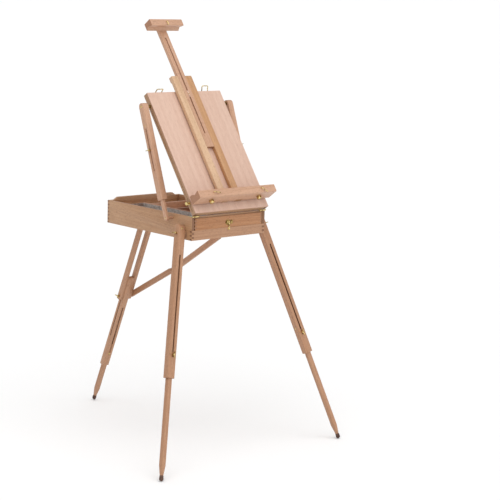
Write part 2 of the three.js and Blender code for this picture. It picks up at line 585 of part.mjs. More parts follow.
// ---------- front legs: local z runs up the leg, local x is the fold axis ----------
function upperLeg(sign) {
  const outline = roundedBar(LEG.depth / 2, -LEG.bottom, LEG.top, false, true);
  const bar = extrudeX(outline, -LEG.width / 2, LEG.width / 2);
  const half = LEG.bore / 2;
  const bore = block(-half, half, -half, half, -LEG.bottom - 1, -LEG.slotTop + 4);
  const slot = block(-LEG.slot / 2, LEG.slot / 2, -LEG.depth, 0, -LEG.slotBottom, -LEG.slotTop);
  const pivotHole = rod(LEG_PIVOT.screw + FIT, [-LEG.width, 0, 0], [LEG.width, 0, 0]);
  const inner = LEG.width / 2;
  const clearRadius = (legPivotOut - inner * Math.cos(splay) - halfWidth - 2 * GAP) / Math.sin(splay);
  const reliefStart = Math.sqrt(clearRadius ** 2 - (LEG.depth / 2) ** 2);
  const slope = Math.tan(splay);
  const high = LEG.top + 2;
  const relief = [[-inner, reliefStart], [-inner + (high - reliefStart) * slope, high],
    [-inner - 12, high], [-inner - 12, reliefStart]];
  const reliefCut = extrudeY(relief.map(([x, z]) => [sign * x, z]), -LEG.depth, LEG.depth);
  return cut(bar, bore, slot, pivotHole, reliefCut);
}

// A square bar that tapers towards the foot, with a hole for the clamp screw.
function slidingLeg(side, top, bottom, screwAt) {
  const corner = Math.SQRT1_2;
  const profile = [[0, bottom], [LOWER_LEG.tip * corner, bottom], [side * corner, bottom + LOWER_LEG.taper],
    [side * corner, top], [0, top]];
  const bar = new THREE.LatheGeometry(profile.map(([r, z]) => new THREE.Vector2(r, z)), 4);
  bar.rotateY(Math.PI / 4).rotateX(Math.PI / 2);
  const hole = rod(LOWER_LEG.screw + FIT, [0, -side, screwAt], [0, side / 4 + 1, screwAt]);
  return cut(bar, hole);
}

// A rounded rubber tip; its lowest point is at the local origin.
function rubberFoot() {
  const profile = [new THREE.Vector2(0, 0)];
  for (let i = 1; i <= 8; i += 1) {
    const angle = (Math.PI / 2) * (i / 8);
    profile.push(new THREE.Vector2(FOOT.radius * Math.sin(angle), FOOT.radius * (1 - Math.cos(angle))));
  }
  profile.push(new THREE.Vector2(FOOT.radius * 0.75, FOOT.length));
  profile.push(new THREE.Vector2(0, FOOT.length));
  return new THREE.LatheGeometry(profile, 20).rotateX(Math.PI / 2);
}

function buildFrontLegs(parent) {
  for (const { name, sign } of SIDES) {
    const { up, across, back, reach } = legAxes(sign);
    const leg = new THREE.Group();
    leg.position.copy(legPivotPoint(sign));
    leg.quaternion.setFromRotationMatrix(new THREE.Matrix4().makeBasis(across, back, up));
    parent.add(leg);
    mesh(leg, `front_leg_upper_${name}`, upperLeg(sign), BEECH);
    const top = -LEG.bottom + LOWER_LEG.overlap;
    const screwAt = top - LOWER_LEG.screwBelowTop;
    const tip = -reach;
    const lower = slidingLeg(LEG.bore - 2 * SLIDE, top, tip + FOOT.length + GAP, screwAt);
    mesh(leg, `front_leg_lower_${name}`, lower, BEECH);
    mesh(leg, `front_foot_${name}`, rubberFoot(), RUBBER).position.z = tip;
    const clampShape = wingScrew(LOWER_LEG.screw, LEG.depth / 2 + GAP + 2);
    const clamp = mesh(leg, `front_leg_clamp_${name}`, clampShape, BRASS);
    clamp.position.set(0, -LEG.depth / 2 - GAP, screwAt);
    clamp.rotation.y = Math.PI / 2;
    const reachIn = (legPivotOut - halfWidth + BOX.wall / 2) / Math.cos(splay);
    const pivotScrew = wingScrew(LEG_PIVOT.screw, LEG.width / 2 + GAP + reachIn);
    const pivot = mesh(leg, `front_leg_pivot_${name}`, pivotScrew, BRASS);
    pivot.position.set(sign * (LEG.width / 2 + GAP), 0, 0);
    pivot.rotation.z = sign * Math.PI / 2;
  }
}

// ---------- rear leg: local z runs up the leg ----------
const rearRailOuter = REAR_RAIL.gap / 2 + REAR_RAIL.width;
const rearTip = (STAND_HEIGHT - REAR.drop - FOOT.radius) / Math.cos(rad(REAR.lean)) + FOOT.radius;

function rearBracket() {
  const half = rearRailOuter + GAP + 4;
  const plate = block(-half - 4, half + 4, -20, 20, REAR.drop - 3.3, REAR.drop - GAP);
  const lugs = SIDES.map(({ sign }) => sideBlock(sign, rearRailOuter + GAP, half, -9, 9, -9, REAR.drop - 1));
  const pins = SIDES.map(({ sign }) =>
    rod(REAR.pin, [sign * (rearRailOuter + 2), 0, 0], [sign * (REAR_RAIL.gap / 2 + 3), 0, 0]));
  return join(plate, ...lugs, ...pins);
}

function rearRail(sign) {
  const x0 = Math.min(sign * REAR_RAIL.gap / 2, sign * rearRailOuter);
  const half = REAR_RAIL.depth / 2;
  const bar = extrudeX(roundedBar(half, -REAR_RAIL.length, half, false, true), x0, x0 + REAR_RAIL.width);
  const heights = sign < 0 ? [0, -REAR_KNEE] : [0];
  const holes = heights.map((z) => rod(REAR.pin + FIT, [x0 - 1, 0, z], [x0 + REAR_RAIL.width + 1, 0, z]));
  return cut(bar, ...holes);
}

function rearMiddle() {
  const half = REAR_RAIL.gap / 2 - SLIDE;
  const r = REAR_MIDDLE.depth / 2;
  const bar = extrudeX(roundedBar(r, -REAR_MIDDLE.bottom, -REAR_MIDDLE.top, false, true), -half, half);
  const boreHalf = LEG.bore / 2;
  const boreTop = -REAR_MIDDLE.slotTop + 4;
  const bore = block(-boreHalf, boreHalf, -boreHalf, boreHalf, -REAR_MIDDLE.bottom - 1, boreTop);
  const slotHalf = LEG.slot / 2;
  const slot = block(-slotHalf, slotHalf, -REAR_MIDDLE.depth, 0, -REAR_MIDDLE.slotBottom, -REAR_MIDDLE.slotTop);
  const grooveHalf = REAR.pin + SLIDE;
  const groove = block(-half - 1, 1 - boreHalf, -grooveHalf, grooveHalf,
    -REAR_KNEE - REAR_MIDDLE.travel - grooveHalf, -REAR_KNEE + grooveHalf);
  return cut(bar, bore, slot, groove);
}

function buildRearLeg(parent) {
  const leg = new THREE.Group();
  leg.position.set(0, halfDepth - REAR.fromRear, -REAR.drop);
  parent.add(leg);
  mesh(leg, 'rear_leg_bracket', rearBracket(), BRASS);
  const turned = new THREE.Group();
  turned.rotation.x = rad(REAR.lean);
  leg.add(turned);
  for (const { name, sign } of SIDES) mesh(turned, `rear_leg_rail_${name}`, rearRail(sign), BEECH);
  mesh(turned, 'rear_leg_middle', rearMiddle(), BEECH);
  const side = LEG.bore - 2 * SLIDE;
  const lower = slidingLeg(side, -REAR_LOWER.top, -rearTip + FOOT.length + GAP, -REAR_LOWER.screwAt);
  mesh(turned, 'rear_leg_lower', lower, BEECH);
  mesh(turned, 'rear_foot', rubberFoot(), RUBBER).position.z = -rearTip;
  const kneeScrew = wingScrew(REAR.pin, rearRailOuter + GAP - LEG.bore / 2 - 1);
  const screw = mesh(turned, 'rear_knee_screw', kneeScrew, BRASS);
  screw.position.set(-rearRailOuter - GAP, 0, -REAR_KNEE);
  screw.rotation.z = -Math.PI / 2;
}

// The two-piece folding brace between the box and the rear leg's knee, outside the right rail.
function buildBrace(parent) {
  const hinge = new THREE.Vector2(-halfDepth + BRACE.fromFront, -BRACE.drop);
  const lean = rad(REAR.lean);
  const pivotY = halfDepth - REAR.fromRear;
  const knee = new THREE.Vector2(pivotY + REAR_KNEE * Math.sin(lean), -REAR.drop - REAR_KNEE * Math.cos(lean));
  const reach = knee.distanceTo(hinge);
  const folded = pivotY - REAR_KNEE - hinge.x;
  const frontLength = (reach + folded) / 2 + BRACE.slack;
  const rearLength = frontLength - folded;
  const slope = Math.atan2(hinge.y - knee.y, knee.x - hinge.x);
  const bend = Math.acos((frontLength ** 2 + reach ** 2 - rearLength ** 2) / (2 * frontLength * reach));
  const frontAngle = slope + bend;
  const along = new THREE.Vector2(Math.cos(frontAngle), -Math.sin(frontAngle));
  const elbow = hinge.clone().addScaledVector(along, frontLength);
  const rearAngle = Math.atan2(elbow.y - knee.y, knee.x - elbow.x);
  const inner = rearRailOuter + GAP;
  const strips = [
    { name: 'brace_front', at: hinge, angle: frontAngle, length: frontLength, x: inner + BRACE.thick + GAP },
    { name: 'brace_rear', at: elbow, angle: rearAngle, length: rearLength, x: inner },
  ];
  for (const { name, at, angle, length, x } of strips) {
    const strip = new THREE.Group();
    strip.position.set(0, at.x, at.y);
    strip.rotation.x = -Math.PI / 2 - angle;
    parent.add(strip);
    const half = BRACE.width / 2;
    const shape = extrudeX(roundedBar(half, -half, length + half, true, true), x, x + BRACE.thick);
    mesh(strip, name, shape, BEECH);
  }
}

// ---------- assembly ----------
const easel = new THREE.Group();
const body = new THREE.Group();
body.position.z = STAND_HEIGHT;
easel.add(body);
buildBox(body);
buildDrawer(body);
buildLatch(body);
buildHinges(body);
buildArms(body);
buildFrontLegs(body);
buildRearLeg(body);
buildBrace(body);

const lid = new THREE.Group();
lid.position.set(0, -halfDepth - HINGE.ahead, BOX.height + HINGE.above);
lid.rotation.x = -rad(LID.tilt);
body.add(lid);
buildLid(lid);
buildBails(lid);
buildCarriage(lid);
buildTrayFittings(lid);
buildMast(lid);
const clampScrew = mesh(lid, 'mast_clamp_screw', wingScrew(CLAMP.screw, 36), BRASS);
clampScrew.position.set(0, lidBack + GAP, clampAt);
clampScrew.rotation.x = Math.PI;

// The origin is on the floor, under the middle of the easel's bounding box.
easel.updateMatrixWorld(true);
const bounds = new THREE.Box3().setFromObject(easel, true);
const centre = bounds.getCenter(new THREE.Vector3());
easel.position.set(-centre.x, -centre.y, -bounds.min.z);

export default easel;
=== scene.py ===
# %% [markdown]
# # A wooden sketch-box easel
# The easel is a drawer box on three telescopic legs, with a hinged canvas panel, a tray on a sliding
# carriage and a sliding mast. The working model is loaded first and stays fixed. Everything after it is
# about looks: eased wooden edges, grain that follows each stick, brass fittings and a soft studio.

# %% Loading the working model
import json
import math
import random

import bmesh
import bpy
import numpy as np
from mathutils import Matrix, Vector


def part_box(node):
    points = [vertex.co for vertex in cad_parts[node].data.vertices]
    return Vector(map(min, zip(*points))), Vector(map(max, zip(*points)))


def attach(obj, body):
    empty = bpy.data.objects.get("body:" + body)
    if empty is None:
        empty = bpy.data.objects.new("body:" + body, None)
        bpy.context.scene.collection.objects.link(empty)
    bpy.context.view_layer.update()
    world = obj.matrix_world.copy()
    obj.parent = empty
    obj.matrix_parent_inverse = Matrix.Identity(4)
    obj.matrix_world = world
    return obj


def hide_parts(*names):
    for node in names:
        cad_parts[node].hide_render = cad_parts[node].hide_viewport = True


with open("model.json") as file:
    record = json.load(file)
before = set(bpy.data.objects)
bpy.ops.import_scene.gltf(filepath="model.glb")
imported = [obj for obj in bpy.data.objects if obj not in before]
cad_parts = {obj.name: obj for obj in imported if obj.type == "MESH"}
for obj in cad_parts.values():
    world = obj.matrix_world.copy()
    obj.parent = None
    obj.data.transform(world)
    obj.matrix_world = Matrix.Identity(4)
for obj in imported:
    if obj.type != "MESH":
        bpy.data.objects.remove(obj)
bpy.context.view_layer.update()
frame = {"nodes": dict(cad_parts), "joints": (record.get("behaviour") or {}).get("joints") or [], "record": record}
joints = {joint["name"]: joint for joint in frame["joints"]}
bodies = frame["record"]["behaviour"]["bodies"]
body_of_node = {node: body for body, nodes in bodies.items() for node in nodes}
MM = 0.001

# %% [markdown]
# ## Camera
# A long lens far away keeps the legs nearly parallel, where a short lens close by would splay them. The
# place is counted from the middle of the box's front board, so the camera follows the easel if the easel
# changes. Turning the camera by azimuth, pitch and a small roll is done with three axes: right, up and
# back.

# %% Camera
AZIMUTH, PITCH, ROLL = (math.radians(angle) for angle in (-41.22, 10.01, 1.64))
CAMERA_FROM_FRONT = Vector((-4.0653, -4.5651, 1.8934))
LENS = 109.25
SHIFT_X, SHIFT_Y = 0.0683, 0.0099
FARTHEST_SEEN = 1000


def show(name, data):
    """An object for a mesh, a camera or a light, linked to the scene."""
    made = bpy.data.objects.new(name, data)
    bpy.context.scene.collection.objects.link(made)
    return made


front_low, front_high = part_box("front_board")
box_front = Vector(((front_low.x + front_high.x) / 2, front_low.y, 0))
camera_place = box_front + CAMERA_FROM_FRONT
level_right = Vector((math.cos(AZIMUTH), math.sin(AZIMUTH), 0))
back = Vector((math.sin(AZIMUTH) * math.cos(PITCH), -math.cos(AZIMUTH) * math.cos(PITCH), math.sin(PITCH)))
level_up = back.cross(level_right)
right = level_right * math.cos(ROLL) + level_up * math.sin(ROLL)
up = level_up * math.cos(ROLL) - level_right * math.sin(ROLL)
camera_data = bpy.data.cameras.new("camera")
camera_data.lens = LENS
camera_data.shift_x = SHIFT_X
camera_data.shift_y = SHIFT_Y
camera_data.clip_end = FARTHEST_SEEN
camera = show("camera", camera_data)
camera.matrix_world = Matrix.Translation(camera_place) @ Matrix((right, up, back)).transposed().to_4x4()
bpy.context.scene.camera = camera
print("camera at", camera_place)

# %% [markdown]
# ## Writing shader maths as Python
# A node tree is a formula, so it reads best as one. `Socket` wraps an output and knows + - *, and each
# sign adds a Math node. A number may stand on either side of the sign, so 1 - mask works too. Linking
# each Math node by hand gives the same tree, but nobody can read it as a formula.

# %% Sockets that do arithmetic
class Socket:
    def __init__(self, finish, link):
        self.finish = finish
        self.link = link

    def math(self, operation, *values):
        return self.finish.node("ShaderNodeMath", {"operation": operation}, values)

    def __add__(self, other):
        return self.math("ADD", self, other)

    def __sub__(self, other):
        return self.math("SUBTRACT", self, other)

    def __rsub__(self, other):
        return self.math("SUBTRACT", other, self)

    def __mul__(self, other):
        return self.math("MULTIPLY", self, other)

    __radd__ = __add__
    __rmul__ = __mul__

    def root(self):
        return self.math("SQRT", self)

    def sine(self):
        return self.math("SINE", self)

    def size(self):
        return self.math("ABSOLUTE", self)

    def above(self, level, softness):
        """0 below the level, 1 above it, with a soft step between."""
        settings = {"interpolation_type": "SMOOTHSTEP"}
        inputs = {"Value": self, "From Min": level - softness, "From Max": level + softness}
        return self.finish.node("ShaderNodeMapRange", settings, inputs)


print("signs that add a Math node: + - *")

# %% [markdown]
# ## One function for every other node
# `add_node` makes any kind of node: its settings come first, then its inputs, each a link or a plain
# value. The same function serves the wood here and the Geometry Nodes further down, so a tree is always
# read the same way.

# %% Any other node
def add_node(tree, kind, settings, inputs):
    made = tree.nodes.new(kind)
    for key, value in (settings or {}).items():
        setattr(made, key, value)
    pairs = inputs.items() if isinstance(inputs, dict) else enumerate(inputs)
    for key, value in pairs:
        source = value.link if isinstance(value, Socket) else value
        if isinstance(source, bpy.types.NodeSocket):
            tree.links.new(source, made.inputs[key])
        else:
            made.inputs[key].default_value = value
    return made


print("a node takes a tree, a kind, settings and inputs")

# %% [markdown]
# ## A finish
# `Finish` starts a material and ends it with one Principled shader. Colours go through Mix, because a
# Math node would turn them grey. Colours are typed as they look on a screen, and `rgb` turns them into
# the linear numbers that a shader needs.

# %% A finish and its nodes
SCREEN_GAMMA = 2.2


class Finish:
    def __init__(self, name):
        self.material = bpy.data.materials.new(name)
        self.material.use_nodes = True
        self.tree = self.material.node_tree
        self.tree.nodes.clear()

    def node(self, kind, settings=None, inputs=(), output=0):
        return Socket(self, add_node(self.tree, kind, settings, inputs).outputs[output])

    def mix(self, share, first, second):
        return self.node("ShaderNodeMix", {"data_type": "RGBA"}, {0: share, 6: first, 7: second}, output=2)

    def noise(self, vector, stretch, detail=2.0, roughness=0.5):
        scaled = self.node("ShaderNodeVectorMath", {"operation": "MULTIPLY"}, [vector, stretch])
        inputs = {"Vector": scaled, "Scale": 1.0, "Detail": detail, "Roughness": roughness}
        return self.node("ShaderNodeTexNoise", None, inputs)

    def surface(self, colour, roughness, height=None, depth=0.0, metallic=0.0, **uniform):
        inputs = {"Base Color": colour, "Roughness": roughness, "Metallic": metallic, **uniform}
        if height is not None:
            relief = {"Height": height, "Strength": 1.0, "Distance": depth}
            inputs["Normal"] = self.node("ShaderNodeBump", None, relief)
        shader = self.node("ShaderNodeBsdfPrincipled", None, inputs)
        output = self.tree.nodes.new("ShaderNodeOutputMaterial")
        self.tree.links.new(shader.link, output.inputs["Surface"])
        return self.material


def rgb(red, green, blue):
    """A colour as seen on screen, 0 to 255, turned into the linear numbers that shaders use."""
    return tuple((c / 255) ** SCREEN_GAMMA for c in (red, green, blue)) + (1.0,)


print("screen grey 128 is linear", round(rgb(128, 128, 128)[0], 3))

# %% [markdown]
# ## Beech
# Beech is a solid material, so its pattern is worked out in three dimensions and every face gets the
# right cut of it. Each stick carries a `grain` attribute: two directions across it and one along it,
# counted from a pith that lies outside the stick. Rings are sines of the distance to that pith, fibres
# are noise stretched along the stick, and the small dark dashes that mark beech are a stretched noise
# that is cut at a level. `end_face` says where the fibres are cut across, which is darker and rougher. A
# wave texture would be simpler, but it would repeat on every stick. The boards come from different
# planks, so there are eight tones.

# %% Beech
RING_STEP = 0.0036
RING_SHARE = 0.15
PATTERN_MIDDLE = 0.375 + RING_SHARE / 2
DASH_LEVEL = 0.635
DASH_SHARE = 0.55
END_SHARE = 0.7
WOOD_RELIEF = 0.00018
OIL = {"Coat Weight": 0.08, "Coat Roughness": 0.35}


def wood(name, pale, deep, fleck_colour, end_colour):
    finish = Finish(name)
    grain = finish.node("ShaderNodeAttribute", {"attribute_name": "grain"}, output="Vector")
    end = finish.node("ShaderNodeAttribute", {"attribute_name": "end_face"}, output="Fac")
    across = finish.node("ShaderNodeSeparateXYZ", None, [grain], output="X")
    depth = finish.node("ShaderNodeSeparateXYZ", None, [grain], output="Y")
    drift = finish.noise(grain, (7, 7, 1.8)) - 0.5
    to_pith = (across * across + depth * depth).root() + drift * 0.02
    rings = (to_pith * (2 * math.pi / RING_STEP)).sine() * 0.5 + 0.5
    fibres = finish.noise(grain, (950, 950, 16), detail=3.0, roughness=0.6)
    streaks = finish.noise(grain, (140, 140, 3), detail=2.0)
    tone = finish.noise(grain, (2.2, 2.2, 1.1), detail=1.0)
    dashes = finish.noise(grain, (620, 620, 85), detail=1.0).above(DASH_LEVEL, 0.03)
    share = rings * RING_SHARE + fibres * 0.3 + streaks * 0.75 + tone * 0.7 - PATTERN_MIDDLE
    body = finish.mix(share.above(0.5, 0.42), pale, deep)
    flecked = finish.mix(dashes * DASH_SHARE, body, fleck_colour)
    colour = finish.mix(end * END_SHARE, flecked, end_colour)
    roughness = fibres * 0.16 + end * 0.12 + 0.36
    height = fibres * 0.7 + rings * 0.2 - dashes * 0.6
    return finish.surface(colour, roughness, height, depth=WOOD_RELIEF, **OIL)


# The four colours of a tone are the pale wood, the deep wood, the dashes and the cut ends.
BEECH = wood("beech", rgb(206, 164, 136), rgb(182, 136, 106), rgb(136, 92, 66), rgb(150, 102, 74))
BEECH_BOX = wood("beech_box", rgb(188, 147, 111), rgb(167, 124, 90), rgb(128, 88, 60), rgb(104, 66, 44))
BEECH_LEG = wood("beech_leg", rgb(186, 142, 111), rgb(164, 117, 85), rgb(122, 80, 54), rgb(130, 88, 60))
BEECH_FRONT = wood("beech_front", rgb(181, 129, 88), rgb(160, 107, 68), rgb(120, 76, 46), rgb(94, 56, 34))
BEECH_LID = wood("beech_lid", rgb(176, 139, 107), rgb(154, 116, 85), rgb(112, 80, 54), rgb(118, 80, 54))
BEECH_AMBER = wood("beech_amber", rgb(204, 157, 114), rgb(180, 132, 90), rgb(132, 90, 60), rgb(140, 96, 64))
BEECH_LOW = wood("beech_low_front", rgb(184, 140, 108), rgb(163, 119, 88), rgb(124, 84, 58), rgb(96, 60, 38))
BEECH_PALE = wood("beech_pale", rgb(218, 182, 148), rgb(198, 159, 123), rgb(146, 106, 78), rgb(158, 112, 82))
print("nodes in a beech finish", len(BEECH.node_tree.nodes))

# %% [markdown]
# ## Plywood
# The canvas panel is peeled veneer, so it shows long soft bands and fine pores in place of rings. Its
# edge shows the plies: `ply` counts from -1 on one face to 1 on the other, and `edge_face` says which
# faces are edges. Three real boards glued together would give the same stripe for much more work.

# %% Plywood
PORE_LEVEL = 0.62
MIDDLE_PLY = 0.333
PLYWOOD_RELIEF = 0.00012


def plywood(name, face, deep, glue):
    finish = Finish(name)
    grain = finish.node("ShaderNodeAttribute", {"attribute_name": "grain"}, output="Vector")
    ply = finish.node("ShaderNodeAttribute", {"attribute_name": "ply"}, output="Fac")
    edge = finish.node("ShaderNodeAttribute", {"attribute_name": "edge_face"}, output="Fac")
    fibres = finish.noise(grain, (1100, 1100, 12), detail=3.0, roughness=0.65)
    bands = finish.noise(grain, (60, 60, 1.4), detail=3.0)
    pores = finish.noise(grain, (800, 800, 40), detail=1.0).above(PORE_LEVEL, 0.04)
    faced = finish.mix((fibres * 0.5 + bands * 0.9 - 0.7).above(0.02, 0.35), face, deep)
    pored = finish.mix(pores * 0.35, faced, glue)
    layers = (MIDDLE_PLY - ply.size()).above(0.0, 0.03)
    layered = finish.mix(layers * 0.6, deep, glue)
    colour = finish.mix(edge, pored, layered)
    roughness = fibres * 0.15 + 0.4
    return finish.surface(colour, roughness, fibres * 0.6 - pores * 0.5, depth=PLYWOOD_RELIEF)


PANEL = plywood("panel_plywood", rgb(218, 185, 166), rgb(206, 169, 149), rgb(166, 124, 100))
print("plywood finish", PANEL.name)

# %% [markdown]
# ## Metal and rubber
# Stamped brass is never evenly bright. Handling leaves it duller in patches, and turning leaves hair
# lines. The dull patches are painted darker than wear alone would make them: they are also painted shade
# that stands in for the dark reflections of polished brass. A second, darker copy of brass is painted
# shade on the latch plates and the arm sleeves. The liner is thin rolled aluminium, so its scratches run
# one way, and its warm brownish grey is painted reflection of the wood around it. The feet are dark brown
# rubber with dust on them. One even colour would be quicker, but it looks like paint.

# %% Brass, aluminium and rubber
BRASS_HAIRS = (500, 500, 90)
ROLLED_HAIRS = (900, 14, 900)


def metal(name, bright, worn_and_dark_reflection, stretch, polish, depth):
    finish = Finish(name)
    place = finish.node("ShaderNodeTexCoord", output="Object")
    wear_and_reflection_patches = finish.noise(place, (90, 90, 90), detail=3.0)
    hairs = finish.noise(place, stretch, detail=2.0, roughness=0.7)
    # The worn colour is wear, and also painted shade for the dark reflections of polished metal.
    colour = finish.mix(wear_and_reflection_patches.above(0.52, 0.14), bright, worn_and_dark_reflection)
    roughness = wear_and_reflection_patches * 0.22 + hairs * 0.1 + polish
    return finish.surface(colour, roughness, hairs, depth=depth, metallic=1.0)


def dark_rubber(name):
    finish = Finish(name)
    place = finish.node("ShaderNodeTexCoord", output="Object")
    grit = finish.noise(place, (700, 700, 700), detail=3.0)
    dust = finish.noise(place, (60, 60, 60), detail=2.0).above(0.56, 0.12)
    colour = finish.mix(dust * 0.35, rgb(74, 48, 38), rgb(128, 104, 90))
    return finish.surface(colour, dust * 0.2 + 0.6, grit, depth=0.0001)


BRASS = metal("brass", rgb(232, 208, 146), rgb(142, 114, 66), BRASS_HAIRS, 0.12, 0.00004)
# A darker copy of brass: painted shade, for the latch plates and the arm sleeves.
BRASS_PAINTED_SHADE = metal("brass_painted_shade", rgb(164, 138, 84), rgb(98, 78, 46), BRASS_HAIRS, 0.2, 0.00005)
# The liner's warm brownish grey is painted reflection of the wood around it, darker than bare aluminium.
ALUMINIUM = metal("liner_aluminium", rgb(194, 184, 178), rgb(164, 152, 145), ROLLED_HAIRS, 0.28, 0.00003)
RUBBER = dark_rubber("foot_rubber")
print("other finishes", BRASS.name, BRASS_PAINTED_SHADE.name, ALUMINIUM.name, RUBBER.name)

# %% [markdown]
# ## Plain meshes and shading
# Most pieces are made by a modifier, or by code on a loose shape. Before a piece gets its finish it has to
# be a plain mesh with nothing live on it. Three small helpers see to that: one works the modifiers out, one
# turns a shape built by code into a mesh, and one shades a mesh smooth up to its sharp edges.

# %% Plain meshes
def plain_mesh(maker, name):
    """The object with its modifiers worked out, as a new object of plain mesh; the maker is removed."""
    evaluated = maker.evaluated_get(bpy.context.evaluated_depsgraph_get())
    mesh = bpy.data.meshes.new_from_object(evaluated)
    mesh.name = name
    old = maker.data
    bpy.data.objects.remove(maker)
    if old.users == 0:
        bpy.data.meshes.remove(old)
    return show(name, mesh)


def mesh_of(shape, name):
    mesh = bpy.data.meshes.new(name)
    shape.to_mesh(mesh)
    shape.free()
    return mesh


def soften(mesh, degrees):
    """Smooth shading that stops at every edge sharper than this."""
    mesh.shade_smooth()
    mesh.set_sharp_from_angle(angle=math.radians(degrees))


print("working pieces to copy", len(frame["nodes"]))

# %% [markdown]
# ## Easing the edges of every wooden piece
# A sanded stick has no knife edges. Its rounded corners catch a thin line of light, and that line is what
# makes wood look real. The working pieces have sharp edges on loose triangles, so each is copied, its
# doubles are merged, its flat triangles are dissolved into whole faces, and a narrow bevel is applied. A
# bevel in the shader would be less work, but the outline would stay sharp.

# %% Easing
DOUBLES_WITHIN = 0.00001
FLAT_WITHIN = math.radians(0.6)
EASE_SEGMENTS = 2
SHADED_SHARP = 32


def whole_faces(mesh):
    shape = bmesh.new()
    shape.from_mesh(mesh)
    bmesh.ops.remove_doubles(shape, verts=shape.verts, dist=DOUBLES_WITHIN)
    bmesh.ops.dissolve_limit(shape, angle_limit=FLAT_WITHIN, verts=shape.verts, edges=shape.edges)
    return mesh_of(shape, "merged")


def eased(node, width, name, sharp=25):
    maker = show("maker", whole_faces(frame["nodes"][node].data))
    bevel = maker.modifiers.new("ease", "BEVEL")
    bevel.width = width
    bevel.segments = EASE_SEGMENTS
    bevel.limit_method = "ANGLE"
    bevel.angle_limit = math.radians(sharp)
    bpy.context.view_layer.update()
    piece = plain_mesh(maker, name)
    soften(piece.data, SHADED_SHARP)
    return piece


print("bevel steps on an edge", EASE_SEGMENTS)

# %% [markdown]
# ## Grain that follows the stick
# Fibres run the long way of a stick, whichever way it leans. The directions are measured on the mesh: the
# spread of its surface has a longest, a middle and a thinnest direction. Each stick's pith gets its own
# random place, so no two sticks match, and a fixed seed makes it the same in every run. Object
# coordinates would be simpler, but on a leaning leg the grain would run out through its side.

# %% Grain attributes
def surface_axes(mesh):
    """The middle of the surface and its directions, from the thinnest to the longest."""
    count = len(mesh.polygons)
    centres = np.empty(count * 3)
    areas = np.empty(count)
    mesh.polygons.foreach_get("center", centres)
    mesh.polygons.foreach_get("area", areas)
    centres = centres.reshape(-1, 3)
    middle = (centres * areas[:, None]).sum(0) / areas.sum()
    offset = centres - middle
    spread = (offset * areas[:, None]).T @ offset
    _, directions = np.linalg.eigh(spread)
    return middle, directions.T


def add_attribute(mesh, name, kind, domain, values):
    attribute = mesh.attributes.new(name, kind, domain)
    field = "vector" if kind == "FLOAT_VECTOR" else "value"
    attribute.data.foreach_set(field, np.asarray(values, np.float32).ravel())


def lay_grain(piece, seed):
    mesh = piece.data
    draw = random.Random(seed)
    middle, (thin, wide, long) = surface_axes(mesh)
    points = np.array([v.co for v in mesh.vertices]) - middle
    normals = np.array([p.normal for p in mesh.polygons])
    pith = (draw.uniform(0.05, 0.14), draw.uniform(-0.05, 0.05), draw.uniform(0, 20))
    grain = np.stack([points @ thin + pith[0], points @ wide + pith[1], points @ long + pith[2]], axis=1)
    half = max(float(np.abs(points @ thin).max()), 1e-6)
    add_attribute(mesh, "grain", "FLOAT_VECTOR", "POINT", grain)
    add_attribute(mesh, "ply", "FLOAT", "POINT", points @ thin / half)
    add_attribute(mesh, "end_face", "FLOAT", "FACE", np.clip(np.abs(normals @ long) * 2 - 1, 0, 1))
    add_attribute(mesh, "edge_face", "FLOAT", "FACE", np.clip(1.4 - np.abs(normals @ thin) * 1.6, 0, 1))


print("attributes: grain, ply, end_face, edge_face")

# %% [markdown]
# ## Wooden pieces
# Every board, rail and leg stage is eased and gets its grain in one loop, because they differ only in
# outline and plank. Plywood is sanded less than solid wood, so its edge is narrower. The last step is the
# same for every piece: its finish, the body it moves with, and the working pieces that it stands for.

# %% Wooden pieces
EASE_STICK = 0.0011
EASE_PLYWOOD = 0.0004

finish_of_slot = {"beech": BEECH, "beech_side": BEECH_BOX, "plywood": PANEL}
slot_of_node = {entry["node"]: entry["material_slot"] for entry in frame["record"]["subparts"]}
finish_of_start = {
    "front_leg": BEECH_LEG, "rear_leg": BEECH_LEG, "brace": BEECH_LEG,
    "drawer_front": BEECH_FRONT, "front_board": BEECH_LOW, "lid_": BEECH_LID,
    "carriage_rail_left": BEECH_PALE, "carriage_rail_right": BEECH_AMBER,
}


def wood_finish(node):
    """Sticks come from different planks, so the legs, the drawer front and the rails differ in tone."""
    for start, finish in finish_of_start.items():
        if node.startswith(start):
            return finish
    return finish_of_slot[slot_of_node[node]]


def settle(piece, body, material, slot, *nodes):
    piece.data.materials.clear()
    piece.data.materials.append(material)
    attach(piece, body)
    if nodes:
        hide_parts(*nodes)
    return piece


wooden = [node for node in frame["nodes"] if slot_of_node[node] in finish_of_slot]
for count, node in enumerate(sorted(wooden)):
    ease = EASE_PLYWOOD if slot_of_node[node] == "plywood" else EASE_STICK
    piece = eased(node, ease, "eased_" + node)
    lay_grain(piece, count)
    settle(piece, body_of_node[node], wood_finish(node), slot_of_node[node], node)
print("eased wooden pieces", len(wooden))

# %% [markdown]
# ## Brass castings that stay in shape
# Wing screws, hinges, the latch and the rear bracket already have the right outline. They get a finer
# bevel and smooth shading, because a casting is rounder than a stick. The liner is folded sheet, so its
# edges stay crisp.

# %% Brass castings and the liner
EASE_CASTING = 0.00045
EASE_SHEET = 0.00025

wire_nodes = ["bail_loop_left", "bail_loop_right", "canvas_hook_left", "canvas_hook_right", "head_hook"]
castings = [n for n in frame["nodes"] if slot_of_node[n] == "brass" and n not in wire_nodes]
for node in sorted(castings):
    piece = eased(node, EASE_CASTING, "brass_" + node, sharp=35)
    settle(piece, body_of_node[node], BRASS, "brass", node)
liner = eased("metal_liner", EASE_SHEET, "liner_tray")
settle(liner, body_of_node["metal_liner"], ALUMINIUM, "aluminium", "metal_liner")
print("castings", len(castings))

